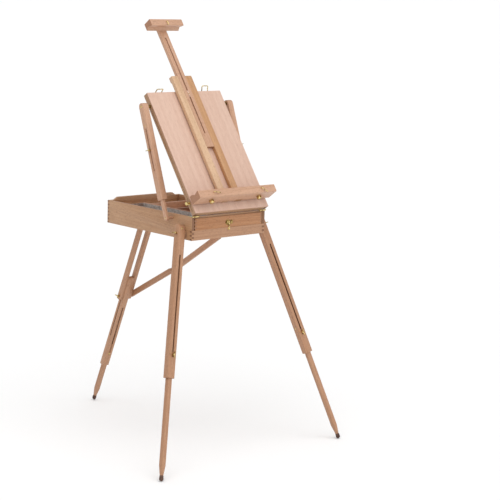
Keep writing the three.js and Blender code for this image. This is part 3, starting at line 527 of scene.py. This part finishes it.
# %% [markdown]
# ## Places and directions
# Every fitting sits on a stick that leans, so a few local frames save a lot of trouble. A frame is a 4 x
# 4 matrix: its columns are the stick's own across, back and up directions, and its last column is the
# pivot that the stick turns on, which the working model already knows. In these frames the sizes are
# typed in millimetres.

# %% Local frames
def local_frame(origin, across, along):
    x = Vector(across).normalized()
    z = Vector(along).normalized()
    y = z.cross(x)
    return Matrix.Translation(Vector(origin)) @ Matrix((x, y, z)).transposed().to_4x4()


def joint_place(name):
    return Vector(joints[name]["pos_m"])


def joint_axis(name):
    return Vector(joints[name]["axis"])


SIGN = {"left": -1, "right": 1}
ACROSS = (1, 0, 0)
LID = local_frame(joint_place("lid_hinge"), ACROSS, joint_axis("carriage_slide"))
REAR_LEG = local_frame(joint_place("rear_leg_fold"), ACROSS, joint_axis("rear_middle_slide"))
LEGS = {}
ARMS = {}
for side in SIGN:
    fold, slide = "front_leg_fold_" + side, "front_leg_slide_" + side
    LEGS[side] = local_frame(joint_place(fold), joint_axis(fold), joint_axis(slide))
    ARMS[side] = local_frame(joint_place("arm_fold_" + side), ACROSS, joint_axis("arm_slide_" + side))
print("frames", LID.translation, REAR_LEG.translation)

# %% [markdown]
# ## Growing pieces from a rule
# Wire, screw heads and ridges follow a rule, so Geometry Nodes make them. `NodeBuilder` starts a tree
# with named inputs and ends it in real geometry with a material. `grow` runs a tree on a mesh: each input
# is set by its identifier, because two inputs may share a name.

# %% Trees that grow a mesh
class NodeBuilder:
    """A Geometry Nodes tree with named inputs, which ends in real geometry with a material."""

    def __init__(self, name, inputs):
        self.tree = bpy.data.node_groups.new(name, "GeometryNodeTree")
        interface = self.tree.interface
        interface.new_socket("Geometry", in_out="INPUT", socket_type="NodeSocketGeometry")
        for label, (kind, value) in inputs.items():
            socket = interface.new_socket(label, in_out="INPUT", socket_type=kind)
            if value is not None:
                socket.default_value = value
        interface.new_socket("Geometry", in_out="OUTPUT", socket_type="NodeSocketGeometry")
        self.group_in = self.tree.nodes.new("NodeGroupInput")
        self.group_out = self.tree.nodes.new("NodeGroupOutput")

    def given(self, label):
        return self.group_in.outputs[label]

    def node(self, kind, settings=None, inputs=(), output=0):
        return add_node(self.tree, kind, settings, inputs).outputs[output]

    def finish(self, geometry):
        real = self.node("GeometryNodeRealizeInstances", None, [geometry])
        coat = {"Geometry": real, "Material": self.given("Material")}
        coloured = self.node("GeometryNodeSetMaterial", None, coat)
        self.tree.links.new(coloured, self.group_out.inputs[0])
        return self.tree


def grow(name, tree, mesh, values):
    """Runs a tree on a mesh and returns the plain result."""
    maker = show("maker", mesh)
    modifier = maker.modifiers.new("grow", "NODES")
    modifier.node_group = tree
    for item in tree.interface.items_tree:
        if item.item_type == "SOCKET" and item.in_out == "INPUT" and item.name in values:
            modifier[item.identifier] = values[item.name]
    bpy.context.view_layer.update()
    return plain_mesh(maker, name)


print("a tree ends in Realize Instances and Set Material")

# %% [markdown]
# ## Bent wire: one Geometry Nodes tree for hooks and loops
# Each hook is one brass rod bent over. Only its corner points are typed. The tree turns the line into a
# curve, rounds the corners with Fillet Curve and sweeps a circle along it, so the wire keeps its
# thickness in the bend. A bevelled curve object would do for one hook, but here the sizes are named
# inputs that every wire shares.

# %% The wire tree
WIRE_SIDES = 16


def wire_tree():
    b = NodeBuilder("bent_wire", {
        "Wire radius": ("NodeSocketFloat", 0.0016),
        "Bend radius": ("NodeSocketFloat", 0.003),
        "Sides": ("NodeSocketInt", WIRE_SIDES),
        "Material": ("NodeSocketMaterial", None),
    })
    line = b.node("GeometryNodeMeshToCurve", None, [b.given("Geometry")])
    bend = {"Curve": line, "Count": 6, "Radius": b.given("Bend radius"), "Limit Radius": True}
    rounded = b.node("GeometryNodeFilletCurve", {"mode": "POLY"}, bend)
    section = {"Resolution": b.given("Sides"), "Radius": b.given("Wire radius")}
    ring = b.node("GeometryNodeCurvePrimitiveCircle", None, section, output="Curve")
    sweep = {"Curve": rounded, "Profile Curve": ring, "Fill Caps": True}
    return b.finish(b.node("GeometryNodeCurveToMesh", None, sweep))


WIRE = wire_tree()


def bent_wire(name, place, points, radius, bend, body, node):
    corners = [place @ (Vector(p) * MM) for p in points]
    steps = [(i, i + 1) for i in range(len(points) - 1)]
    mesh = bpy.data.meshes.new("line")
    mesh.from_pydata(corners, steps, [])
    sizes = {"Wire radius": radius * MM, "Bend radius": bend * MM, "Sides": WIRE_SIDES, "Material": BRASS}
    piece = grow(name, WIRE, mesh, sizes)
    soften(piece.data, 50)
    return settle(piece, body, BRASS, "brass", node)


print("wire tree nodes", len(WIRE.nodes))

# %% [markdown]
# ## Hooks and bail loops
# A canvas hook runs forward from the rail, where it can turn, and its bent end holds the canvas. A bail
# is a wire loop with both ends turned in, hung on a pin at each side of the panel. Both use the tree
# above: a hook takes three corner points and a bail takes six.

# %% Hooks and bail loops
HOOK_RADIUS, HOOK_BEND = 1.9, 3.2
BAIL_RADIUS, BAIL_BEND = 2.0, 5
BAIL_HALF, BAIL_TURNED_IN, BAIL_LENGTH = 16, 5, 30


def hook_points(stub, tail, arm, degrees):
    turn = math.radians(degrees)
    return [(0, tail, 0), (0, -stub, 0), (arm * math.cos(turn), -stub, arm * math.sin(turn))]


# A hook has four numbers: its stub in front, its tail behind, its bent end and the way that end points.
hook_specs = {
    "canvas_hook_left": ("hook_swivel_left", (7, 37, 30, -13)),
    "canvas_hook_right": ("hook_swivel_right", (7, 37, 30, -44)),
    "head_hook": ("head_hook_swivel", (4.5, 22, 18, -90)),
}
for node, (joint, shape) in hook_specs.items():
    place = local_frame(joint_place(joint), ACROSS, joint_axis("mast_slide"))
    points = hook_points(*shape)
    bent_wire("wire_" + node, place, points, HOOK_RADIUS, HOOK_BEND, body_of_node[node], node)

pin = BAIL_HALF - BAIL_TURNED_IN
half_loop = [(-pin, 0, 0), (-BAIL_HALF, 0, 0), (-BAIL_HALF, 0, BAIL_LENGTH)]
bail_points = half_loop + [(-x, y, z) for x, y, z in reversed(half_loop)]
bail_lean = {"left": 76, "right": 39}
for side, lean in bail_lean.items():
    leaning = LID.to_3x3().to_4x4() @ Matrix.Rotation(math.radians(lean), 4, "X")
    place = Matrix.Translation(joint_place("bail_swing_" + side)) @ leaning
    name = "bail_loop_" + side
    bent_wire("wire_" + name, place, bail_points, BAIL_RADIUS, BAIL_BEND, "bail_" + side, name)
print("bent wires", len(hook_specs) + len(bail_lean))

# %% [markdown]
# ## Screws and bolts: instances on points
# An easel has many round heads that differ only in size. One head is made inside the tree, a flattened
# ball with a cross cut into it by two bars, and it is placed on every point with its top turned along the
# point's `facing`. Copying a finished mesh by hand would work too, but here the head's size is one number
# for a row.

# %% The screw tree
def screw_tree():
    b = NodeBuilder("round_head_screws", {
        "Head radius": ("NodeSocketFloat", 0.004),
        "Dome": ("NodeSocketFloat", 0.5),
        "Recess": ("NodeSocketFloat", 0.0009),
        "Material": ("NodeSocketMaterial", None),
    })
    radius, dome, recess = b.given("Head radius"), b.given("Dome"), b.given("Recess")
    ball = b.node("GeometryNodeMeshUVSphere", None, {"Segments": 24, "Rings": 12, "Radius": radius})
    squash = b.node("ShaderNodeCombineXYZ", None, [1.0, 1.0, dome])
    head = b.node("GeometryNodeTransform", None, {"Geometry": ball, "Scale": squash})
    long = b.node("ShaderNodeMath", {"operation": "MULTIPLY"}, [radius, 1.15])
    top = b.node("ShaderNodeMath", {"operation": "MULTIPLY"}, [radius, dome])
    lift = b.node("ShaderNodeCombineXYZ", None, [0.0, 0.0, top])
    cut = b.tree.nodes.new("GeometryNodeMeshBoolean")
    cut.operation = "DIFFERENCE"
    b.tree.links.new(head, cut.inputs["Mesh 1"])
    for across, back_to_front in ((long, recess), (recess, long)):
        size = b.node("ShaderNodeCombineXYZ", None, [across, back_to_front, top])
        bar = b.node("GeometryNodeMeshCube", None, {"Size": size})
        raised = b.node("GeometryNodeTransform", None, {"Geometry": bar, "Translation": lift})
        b.tree.links.new(raised, cut.inputs["Mesh 2"])
    facing = b.node("GeometryNodeInputNamedAttribute", {"data_type": "FLOAT_VECTOR"}, {"Name": "facing"})
    turn = b.node("FunctionNodeAlignRotationToVector", {"axis": "Z"}, {"Vector": facing})
    spread = {"Points": b.given("Geometry"), "Instance": cut.outputs[0], "Rotation": turn}
    return b.finish(b.node("GeometryNodeInstanceOnPoints", None, spread))


SCREWS = screw_tree()
print("screw tree nodes", len(SCREWS.nodes))

# %% [markdown]
# ## A row of heads
# The heads of one row lie on one body and have one size. Their places become the points of a tiny mesh,
# and the way each head looks becomes its `facing` attribute. The cross cut is always the same share of
# the head.

# %% A row of heads
RECESS_SHARE = 0.26


def screws(name, body, spots, radius, dome=0.5):
    """Round heads at spots, each a place and the direction that its top faces."""
    mesh = bpy.data.meshes.new("spots")
    mesh.from_pydata([tuple(place) for place, _ in spots], [], [])
    add_attribute(mesh, "facing", "FLOAT_VECTOR", "POINT", [tuple(facing) for _, facing in spots])
    recess = radius * RECESS_SHARE
    sizes = {"Head radius": radius * MM, "Dome": dome, "Recess": recess * MM, "Material": BRASS}
    piece = grow(name, SCREWS, mesh, sizes)
    soften(piece.data, 40)
    return settle(piece, body, BRASS, "brass")


def spot(place, x, y, z, facing):
    return place @ (Vector((x, y, z)) * MM), place.to_3x3() @ Vector(facing)


print("cross cut share", RECESS_SHARE)

# %% [markdown]
# ## Where the heads go
# The leg bolts, the stage screws, the bolts of the arms, the pins of the rear bracket and the screws of
# the cleat all show a head. A head that another piece passes when the easel folds is a flush pin: its
# dome is nearly flat. Each place is typed in the frame of its own stick, so it leans with the stick.

# %% Screws, bolts and pins
LEG_FRONT, LEG_SIDE, LEG_TOP_HEAD, LEG_STAGE_HEAD = 13, 17.5, 20, -467
ARM_FOOT_SIDE, ARM_SIDE, ARM_TOP_BOLT, ARM_STOP_PIN = 5, 13.5, 464.3, 384
REAR_FRONT, REAR_STAGE_HEAD, BRACKET_SIDE = 12, -684, 37.2
KEY_FRONT, KEY_HEIGHT = 45.6, 541
CLEAT_BACK, CLEAT_HEIGHT, CLEAT_ACROSS = -26.0, 616, (-45, -28, 28, 45)
FLUSH = 0.07
FORWARD, BACKWARD = (0, -1, 0), (0, 1, 0)

for side, sign in SIGN.items():
    outward, inward = (sign, 0, 0), (-sign, 0, 0)
    leg, arm = LEGS[side], ARMS[side]
    leg_top = spot(leg, 0, -LEG_FRONT, LEG_TOP_HEAD, FORWARD)
    leg_stage = spot(leg, -sign * LEG_SIDE, 0, LEG_STAGE_HEAD, inward)
    screws("leg_heads_" + side, "front_leg_" + side, [leg_top, leg_stage], radius=4.2)
    arm_foot = spot(arm, sign * ARM_FOOT_SIDE, 0, 0, outward)
    screws("arm_foot_bolt_" + side, "arm_" + side, [arm_foot], radius=3.4, dome=FLUSH)
    top_bolt = spot(arm, sign * ARM_SIDE, 0, ARM_TOP_BOLT, outward)
    screws("arm_top_bolt_" + side, "arm_channel_" + side, [top_bolt], radius=5.2)
    stop_pin = spot(arm, sign * ARM_SIDE, 0, ARM_STOP_PIN, outward)
    screws("arm_stop_pin_" + side, "arm_channel_" + side, [stop_pin], radius=2.4)

rear_stage = spot(REAR_LEG, 0, -REAR_FRONT, REAR_STAGE_HEAD, FORWARD)
screws("rear_stage_screw", "rear_lower", [rear_stage], radius=5.0)
bracket_pins = [spot(REAR_LEG, sign * BRACKET_SIDE, 0, 0, (sign, 0, 0)) for sign in SIGN.values()]
screws("rear_bracket_pins", "box", bracket_pins, radius=4.5)
screws("mast_key_screw", "lid", [spot(LID, 0, -KEY_FRONT, KEY_HEIGHT, FORWARD)], radius=2.7)
cleat_heads = [spot(LID, x, CLEAT_BACK, CLEAT_HEIGHT, BACKWARD) for x in CLEAT_ACROSS]
screws("cleat_screws", "carriage", cleat_heads, radius=2.6)
print("screw heads", 5 * len(SIGN) + 2 + len(bracket_pins) + len(cleat_heads))

# %% [markdown]
# ## Knurled edges on the thumb screws
# The round knobs under the tray have ridges for the fingers. A ring of small bars around the disc gives
# them, with the number of ridges as an input. Each bar is turned by its own index, so no angle is typed.
# A bump in the material would be lighter, but the knob's outline would stay smooth.

# %% The ridge tree
RIDGES = 36
KNURL_RADIUS, RIDGE_SIZE = 9.2, 0.9
KNURL_HEIGHT, KNURL_DROP = 11.4, 6.8


def ridge_tree():
    b = NodeBuilder("ridge_ring", {
        "Ridges": ("NodeSocketInt", RIDGES),
        "Ring radius": ("NodeSocketFloat", KNURL_RADIUS * MM),
        "Ridge size": ("NodeSocketFloat", RIDGE_SIZE * MM),
        "Height": ("NodeSocketFloat", KNURL_HEIGHT * MM),
        "Material": ("NodeSocketMaterial", None),
    })
    ridges, thick = b.given("Ridges"), b.given("Ridge size")
    ring = b.node("GeometryNodeMeshCircle", None, {"Vertices": ridges, "Radius": b.given("Ring radius")})
    size = b.node("ShaderNodeCombineXYZ", None, [thick, thick, b.given("Height")])
    bar = b.node("GeometryNodeMeshCube", None, {"Size": size})
    index = b.node("GeometryNodeInputIndex")
    share = b.node("ShaderNodeMath", {"operation": "DIVIDE"}, [index, ridges])
    angle = b.node("ShaderNodeMath", {"operation": "MULTIPLY"}, [share, 2 * math.pi])
    turn = b.node("ShaderNodeCombineXYZ", None, [0.0, 0.0, angle])
    spread = {"Points": ring, "Instance": bar, "Rotation": turn}
    return b.finish(b.node("GeometryNodeInstanceOnPoints", None, spread))


RIDGE_RING = ridge_tree()
knurl_sizes = {
    "Ridges": RIDGES,
    "Ring radius": KNURL_RADIUS * MM,
    "Ridge size": RIDGE_SIZE * MM,
    "Height": KNURL_HEIGHT * MM,
    "Material": BRASS,
}
for side in SIGN:
    thumb = "thumb_turn_" + side
    place = local_frame(joint_place(thumb), ACROSS, joint_axis(thumb))
    knurl = grow("thumb_ridges_" + side, RIDGE_RING, bpy.data.meshes.new("empty"), knurl_sizes)
    knurl.data.transform(place @ Matrix.Translation((0, 0, -KNURL_DROP * MM)))
    settle(knurl, "thumb_" + side, BRASS, "brass")
print("knurled knobs", len(SIGN))

# %% [markdown]
# ## Turned pieces
# A lathe shape is a half outline spun round an axis. The feet, the drawer's catch and the knobs are made
# this way. The outline is typed as radius and height. The Screw modifier spins an outline too, but it
# leaves open poles, so the rings are joined here by hand and closed at both ends.

# %% Spinning an outline
LATHE_SEGMENTS = 40


def turned(name, place, outline):
    shape = bmesh.new()
    rings = []
    for radius, height in outline:
        count = LATHE_SEGMENTS if radius > 0 else 1
        angles = [2 * math.pi * i / count for i in range(count)]
        spots = [Vector((radius * math.cos(a), radius * math.sin(a), height)) * MM for a in angles]
        rings.append([shape.verts.new(place @ p) for p in spots])
    for low, high in zip(rings, rings[1:]):
        for i in range(LATHE_SEGMENTS):
            j = (i + 1) % LATHE_SEGMENTS
            corners = [low[i % len(low)], low[j % len(low)], high[j % len(high)], high[i % len(high)]]
            shape.faces.new(list(dict.fromkeys(corners)))
    bmesh.ops.recalc_face_normals(shape, faces=shape.faces)
    mesh = mesh_of(shape, name)
    soften(mesh, 40)
    return show(name, mesh)


print("lathe segments", LATHE_SEGMENTS)

# %% [markdown]
# ## Rubber feet
# Each leg stands on a small rubber foot with a round nose and two grooves. The working model has it as a
# plain plug, and its box tells where the leg's axis meets it, so the turned foot takes the plug's place.

# %% Rubber feet
FOOT_RADIUS, FOOT_LENGTH = 9.0, 22.0
NOSE_STEPS = 9
GROOVES_AT = (11.5, 14.5)


def foot_outline():
    angles = np.linspace(0, math.pi / 2, NOSE_STEPS)
    nose = [(FOOT_RADIUS * math.sin(a), FOOT_RADIUS * (1 - math.cos(a))) for a in angles]
    grooves = []
    for height in GROOVES_AT:
        grooves += [(8.7, height), (8.0, height + 0.5), (8.0, height + 1.1), (8.5, height + 1.6)]
    return nose + grooves + [(7.6, FOOT_LENGTH - 0.8), (6.9, FOOT_LENGTH), (0, FOOT_LENGTH)]


feet = {"front_foot_left": LEGS["left"], "front_foot_right": LEGS["right"], "rear_foot": REAR_LEG}
for node, place in feet.items():
    low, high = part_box(node)
    axis = place.to_3x3().col[2]
    middle = (low + high) / 2
    pivot = place.translation
    tip = pivot + axis * ((middle - pivot).dot(axis) - FOOT_LENGTH / 2 * MM)
    foot = turned("rubber_" + node, local_frame(tip, place.to_3x3().col[0], axis), foot_outline())
    settle(foot, body_of_node[node], RUBBER, "rubber", node)
print("feet", len(feet))

# %% [markdown]
# ## The rail above the drawer
# A thin rail closes the front of the box above the drawer. It is one bevelled block whose height comes
# from its neighbours: the drawer's top below it and the rim of the side boards above it. It gets grain
# like any stick, with a seed of its own.

# %% Bevelled blocks and the front rail
RAIL_HALF_LENGTH = 0.185
RAIL_SET_BACK, RAIL_THICK = 0.004, 0.012
RAIL_OVER_DRAWER, RAIL_UNDER_RIM = 0.0006, 0.0004
RAIL_SEED = 101


def bevelled_block(name, low, high, ease):
    shape = bmesh.new()
    bmesh.ops.create_cube(shape, size=1.0)
    size = Vector(high) - Vector(low)
    middle = (Vector(high) + Vector(low)) / 2
    fit = Matrix.Translation(middle) @ Matrix.Diagonal(size).to_4x4()
    bmesh.ops.transform(shape, matrix=fit, verts=shape.verts)
    bmesh.ops.bevel(shape, geom=shape.edges[:], offset=ease, segments=3, profile=0.6, affect="EDGES")
    mesh = mesh_of(shape, name)
    soften(mesh, SHADED_SHARP)
    return show(name, mesh)


side_low, side_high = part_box("side_board_left")
box_bottom, box_top = side_low.z, side_high.z
front_y = front_low.y
rail_back = front_y + RAIL_SET_BACK
drawer_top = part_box("drawer_front")[1].z
rail_low = (-RAIL_HALF_LENGTH, rail_back, drawer_top + RAIL_OVER_DRAWER)
rail_high = (RAIL_HALF_LENGTH, rail_back + RAIL_THICK, box_top - RAIL_UNDER_RIM)
rail = bevelled_block("front_top_rail", rail_low, rail_high, ease=0.0008)
lay_grain(rail, RAIL_SEED)
settle(rail, "box", BEECH_BOX, "beech_side")
print("rail height", round(rail_high[2] - rail_low[2], 4))

# %% [markdown]
# ## Lug and pins of the brace
# The folding brace hangs from a brass lug under the box: an upright ear on a flat foot. Two blocks make
# it, and three round heads show the pins at the lug, the elbow and the knee. The knee's pin passes the
# front strip when the leg folds, so it is flush.

# %% Brace lug and pins
LUG_FROM_PIN, LUG_THICK, LUG_HALF = 5.3 * MM, 0.0025, 0.009
LUG_FOOT_REACH, LUG_FOOT_THICK = 0.018, 0.0028
ELBOW_SIDE, KNEE_SIDE = 5 * MM, -0.1 * MM
KNEE_FLUSH = 0.06

brace_pin = joint_place("brace_front_fold")
elbow = joint_place("brace_rear_fold")
knee = joint_place("rear_knee_turn")
lug_x = brace_pin.x + LUG_FROM_PIN
lug_face = lug_x + LUG_THICK
lug_low = (lug_x, brace_pin.y - LUG_HALF, brace_pin.z - LUG_HALF)
lug_high = (lug_face, brace_pin.y + LUG_HALF, box_bottom)
settle(bevelled_block("brace_lug", lug_low, lug_high, ease=0.0007), "box", BRASS, "brass")
foot_low = (lug_x - LUG_FOOT_REACH, brace_pin.y - LUG_FOOT_REACH, box_bottom)
foot_high = (lug_face, brace_pin.y + LUG_FOOT_REACH, box_bottom + LUG_FOOT_THICK)
settle(bevelled_block("brace_lug_foot", foot_low, foot_high, ease=0.0006), "box", BRASS, "brass")

lug_pin_spot = (Vector((lug_face, brace_pin.y, brace_pin.z)), ACROSS)
elbow_pin_spot = (Vector((brace_pin.x + ELBOW_SIDE, elbow.y, elbow.z)), ACROSS)
knee_pin_spot = (Vector((elbow.x + KNEE_SIDE, knee.y, knee.z)), ACROSS)
screws("brace_lug_pin", "box", [lug_pin_spot], radius=4.0)
screws("brace_elbow_pin", "brace_front", [elbow_pin_spot], radius=4.0)
screws("brace_knee_pin", "brace_rear", [knee_pin_spot], radius=3.4, dome=KNEE_FLUSH)
print("brace pins at", brace_pin, elbow, knee)

# %% [markdown]
# ## Drawer catch
# The drawer is held by a hook that drops over a stud on the front board. Two round plates with
# domes sit on the hook's ends: the plates are the darker copy of brass, painted shade around the bright
# domes. All are turned on the lathe above, with their axis towards the artist. The plate near the stud
# is smaller, so that it clears the stud as the hook swings.

# %% Drawer catch
STUD_BELOW_EDGE = 0.006
STUD = [
    (0, 0), (5.4, 0), (5.4, 0.7), (3.0, 1.0), (2.2, 1.3),
    (2.2, 3.0), (3.2, 3.4), (3.2, 4.2), (2.2, 4.8), (0, 4.9),
]
# Each plate of the hook has its place across from the pin and its radius.
LATCH_PLATES = {"left": (-8, 11), "right": (12.5, 8.4)}

toward_artist = local_frame((0, 0, 0), ACROSS, FORWARD).to_3x3().to_4x4()
hook_pin = joint_place("latch_swing")
stud_height = front_high.z - STUD_BELOW_EDGE
stud_place = Matrix.Translation((hook_pin.x, front_y, stud_height)) @ toward_artist
settle(turned("catch_stud", stud_place, STUD), "box", BRASS, "brass")
for side, (across, size) in LATCH_PLATES.items():
    centre = Matrix.Translation((hook_pin.x + across * MM, front_y, hook_pin.z)) @ toward_artist
    plate = [(0, 0.3), (size, 0.3), (size, 1.1), (size - 1.6, 2.0), (size - 3.4, 1.3), (0, 1.3)]
    # The plate is the darker brass copy, painted shade around the bright dome.
    settle(turned("latch_plate_" + side, centre, plate), "latch", BRASS_PAINTED_SHADE, "brass")
    dome = [(0, 1.2), (size * 0.5, 1.2), (size * 0.45, 3.2), (size * 0.25, 4.6), (0, 5.0)]
    settle(turned("latch_dome_" + side, centre, dome), "latch", BRASS, "brass")
print("catch stud at", stud_place.translation)

# %% [markdown]
# ## Bolts on the sides of the canvas panel
# Each arm is bolted to the panel's side through a sleeve of the darker brass, which is painted
# shade, and a knob on the left rail holds the folded carriage. They are turned pieces whose axis points
# out of the side of the panel.

# %% Sleeves and side knob
PANEL_SIDE, BOLT_LINE = 197.05, -9.8
SLEEVE_HEIGHT, KNOB_HEIGHT = 507.5, 56
SLEEVE = [(0, 0), (7.4, 0), (7.4, 1.4), (6.5, 1.8), (6.5, 15.8), (7.4, 16.2), (7.4, 17.6), (0, 17.6)]
KNOB = [(0, 0), (7, 0), (7, 1.6), (3.6, 2.4), (3.6, 7), (8, 10), (8, 15), (6, 17), (0, 17.4)]


def side_of_panel(sign, height):
    outward = Matrix.Rotation(sign * math.pi / 2, 4, "Y")
    return LID @ Matrix.Translation(Vector((sign * PANEL_SIDE, BOLT_LINE, height)) * MM) @ outward


for side, sign in SIGN.items():
    sleeve = turned("arm_boss_sleeve_" + side, side_of_panel(sign, SLEEVE_HEIGHT), SLEEVE)
    # The sleeve is the darker brass copy, painted shade.
    settle(sleeve, "lid", BRASS_PAINTED_SHADE, "brass")
knob = turned("panel_side_knob", side_of_panel(SIGN["left"], KNOB_HEIGHT), KNOB)
settle(knob, "lid", BRASS, "brass")
print("side bolts", len(SIGN) + 1)

# %% [markdown]
# ## Floor
# The floor is very wide and nearly white, with the faintest cloud in it, so the easel stands on something
# without a horizon close behind it.

# %% Floor
FLOOR_REACH = 400
FLOOR_BELOW = 0.0005
FLOOR_PALE, FLOOR_DEEP = (0.98, 0.98, 0.98, 1), (0.965, 0.965, 0.965, 1)


def floor_finish():
    finish = Finish("studio_floor")
    place = finish.node("ShaderNodeTexCoord", output="Object")
    cloud = finish.noise(place, (0.7, 0.7, 0.7))
    return finish.surface(finish.mix(cloud, FLOOR_PALE, FLOOR_DEEP), 0.8)


floor_corners = [(x * FLOOR_REACH, y * FLOOR_REACH, 0) for x, y in ((-1, -1), (1, -1), (1, 1), (-1, 1))]
floor_mesh = bpy.data.meshes.new("floor")
floor_mesh.from_pydata(floor_corners, [], [(0, 1, 2, 3)])
floor_mesh.materials.append(floor_finish())
floor = show("floor", floor_mesh)
floor.location.z = -FLOOR_BELOW
print("floor reaches", FLOOR_REACH, "m each way")

# %% [markdown]
# ## Surround
# The surround does two jobs. It lights the easel softly from every side, and it is the white that is seen
# behind it. The light has to be weaker than white or the wood would wash out, so a Light Path node sends
# pure white to the camera and the weaker glow to everything else.

# %% Surround
GLOW = 0.62
WHITE = (1, 1, 1, 1)

world = bpy.data.worlds.new("studio")
world.use_nodes = True
wires = world.node_tree
glow = wires.nodes["Background"]
glow.inputs["Color"].default_value = WHITE
glow.inputs["Strength"].default_value = GLOW
backdrop = add_node(wires, "ShaderNodeBackground", None, {"Color": WHITE})
seen = add_node(wires, "ShaderNodeLightPath", None, {}).outputs["Is Camera Ray"]
choose = add_node(wires, "ShaderNodeMixShader", None, [seen, glow.outputs[0], backdrop.outputs[0]])
wires.links.new(choose.outputs[0], wires.nodes["World Output"].inputs["Surface"])
bpy.context.scene.world = world
bpy.context.scene.view_settings.view_transform = "Standard"
print("glow", GLOW)

# %% [markdown]
# ## Lights
# Two broad lights shape the wood: one above for the panel and the tray, one low and wide from the
# artist's side. A sun lamp with a very wide disc lights the whole floor evenly, where an area lamp would
# leave a bright pool, and its shadows are soft and short.

# %% Lights
def wide_sun(name, direction, spread, strength):
    """A light from far away whose disc is spread degrees wide, so its shadows are soft at any distance."""
    data = bpy.data.lights.new(name, "SUN")
    data.angle = math.radians(spread)
    data.energy = strength
    light = show(name, data)
    light.rotation_euler = Vector(direction).to_track_quat("-Z", "Y").to_euler()


wide_sun("top_light", (0.25, 0.45, -1), spread=70, strength=1.5)
wide_sun("artist_light", (-0.7, 1, -0.35), spread=60, strength=0.35)
print("lights", [thing.name for thing in bpy.data.lights])
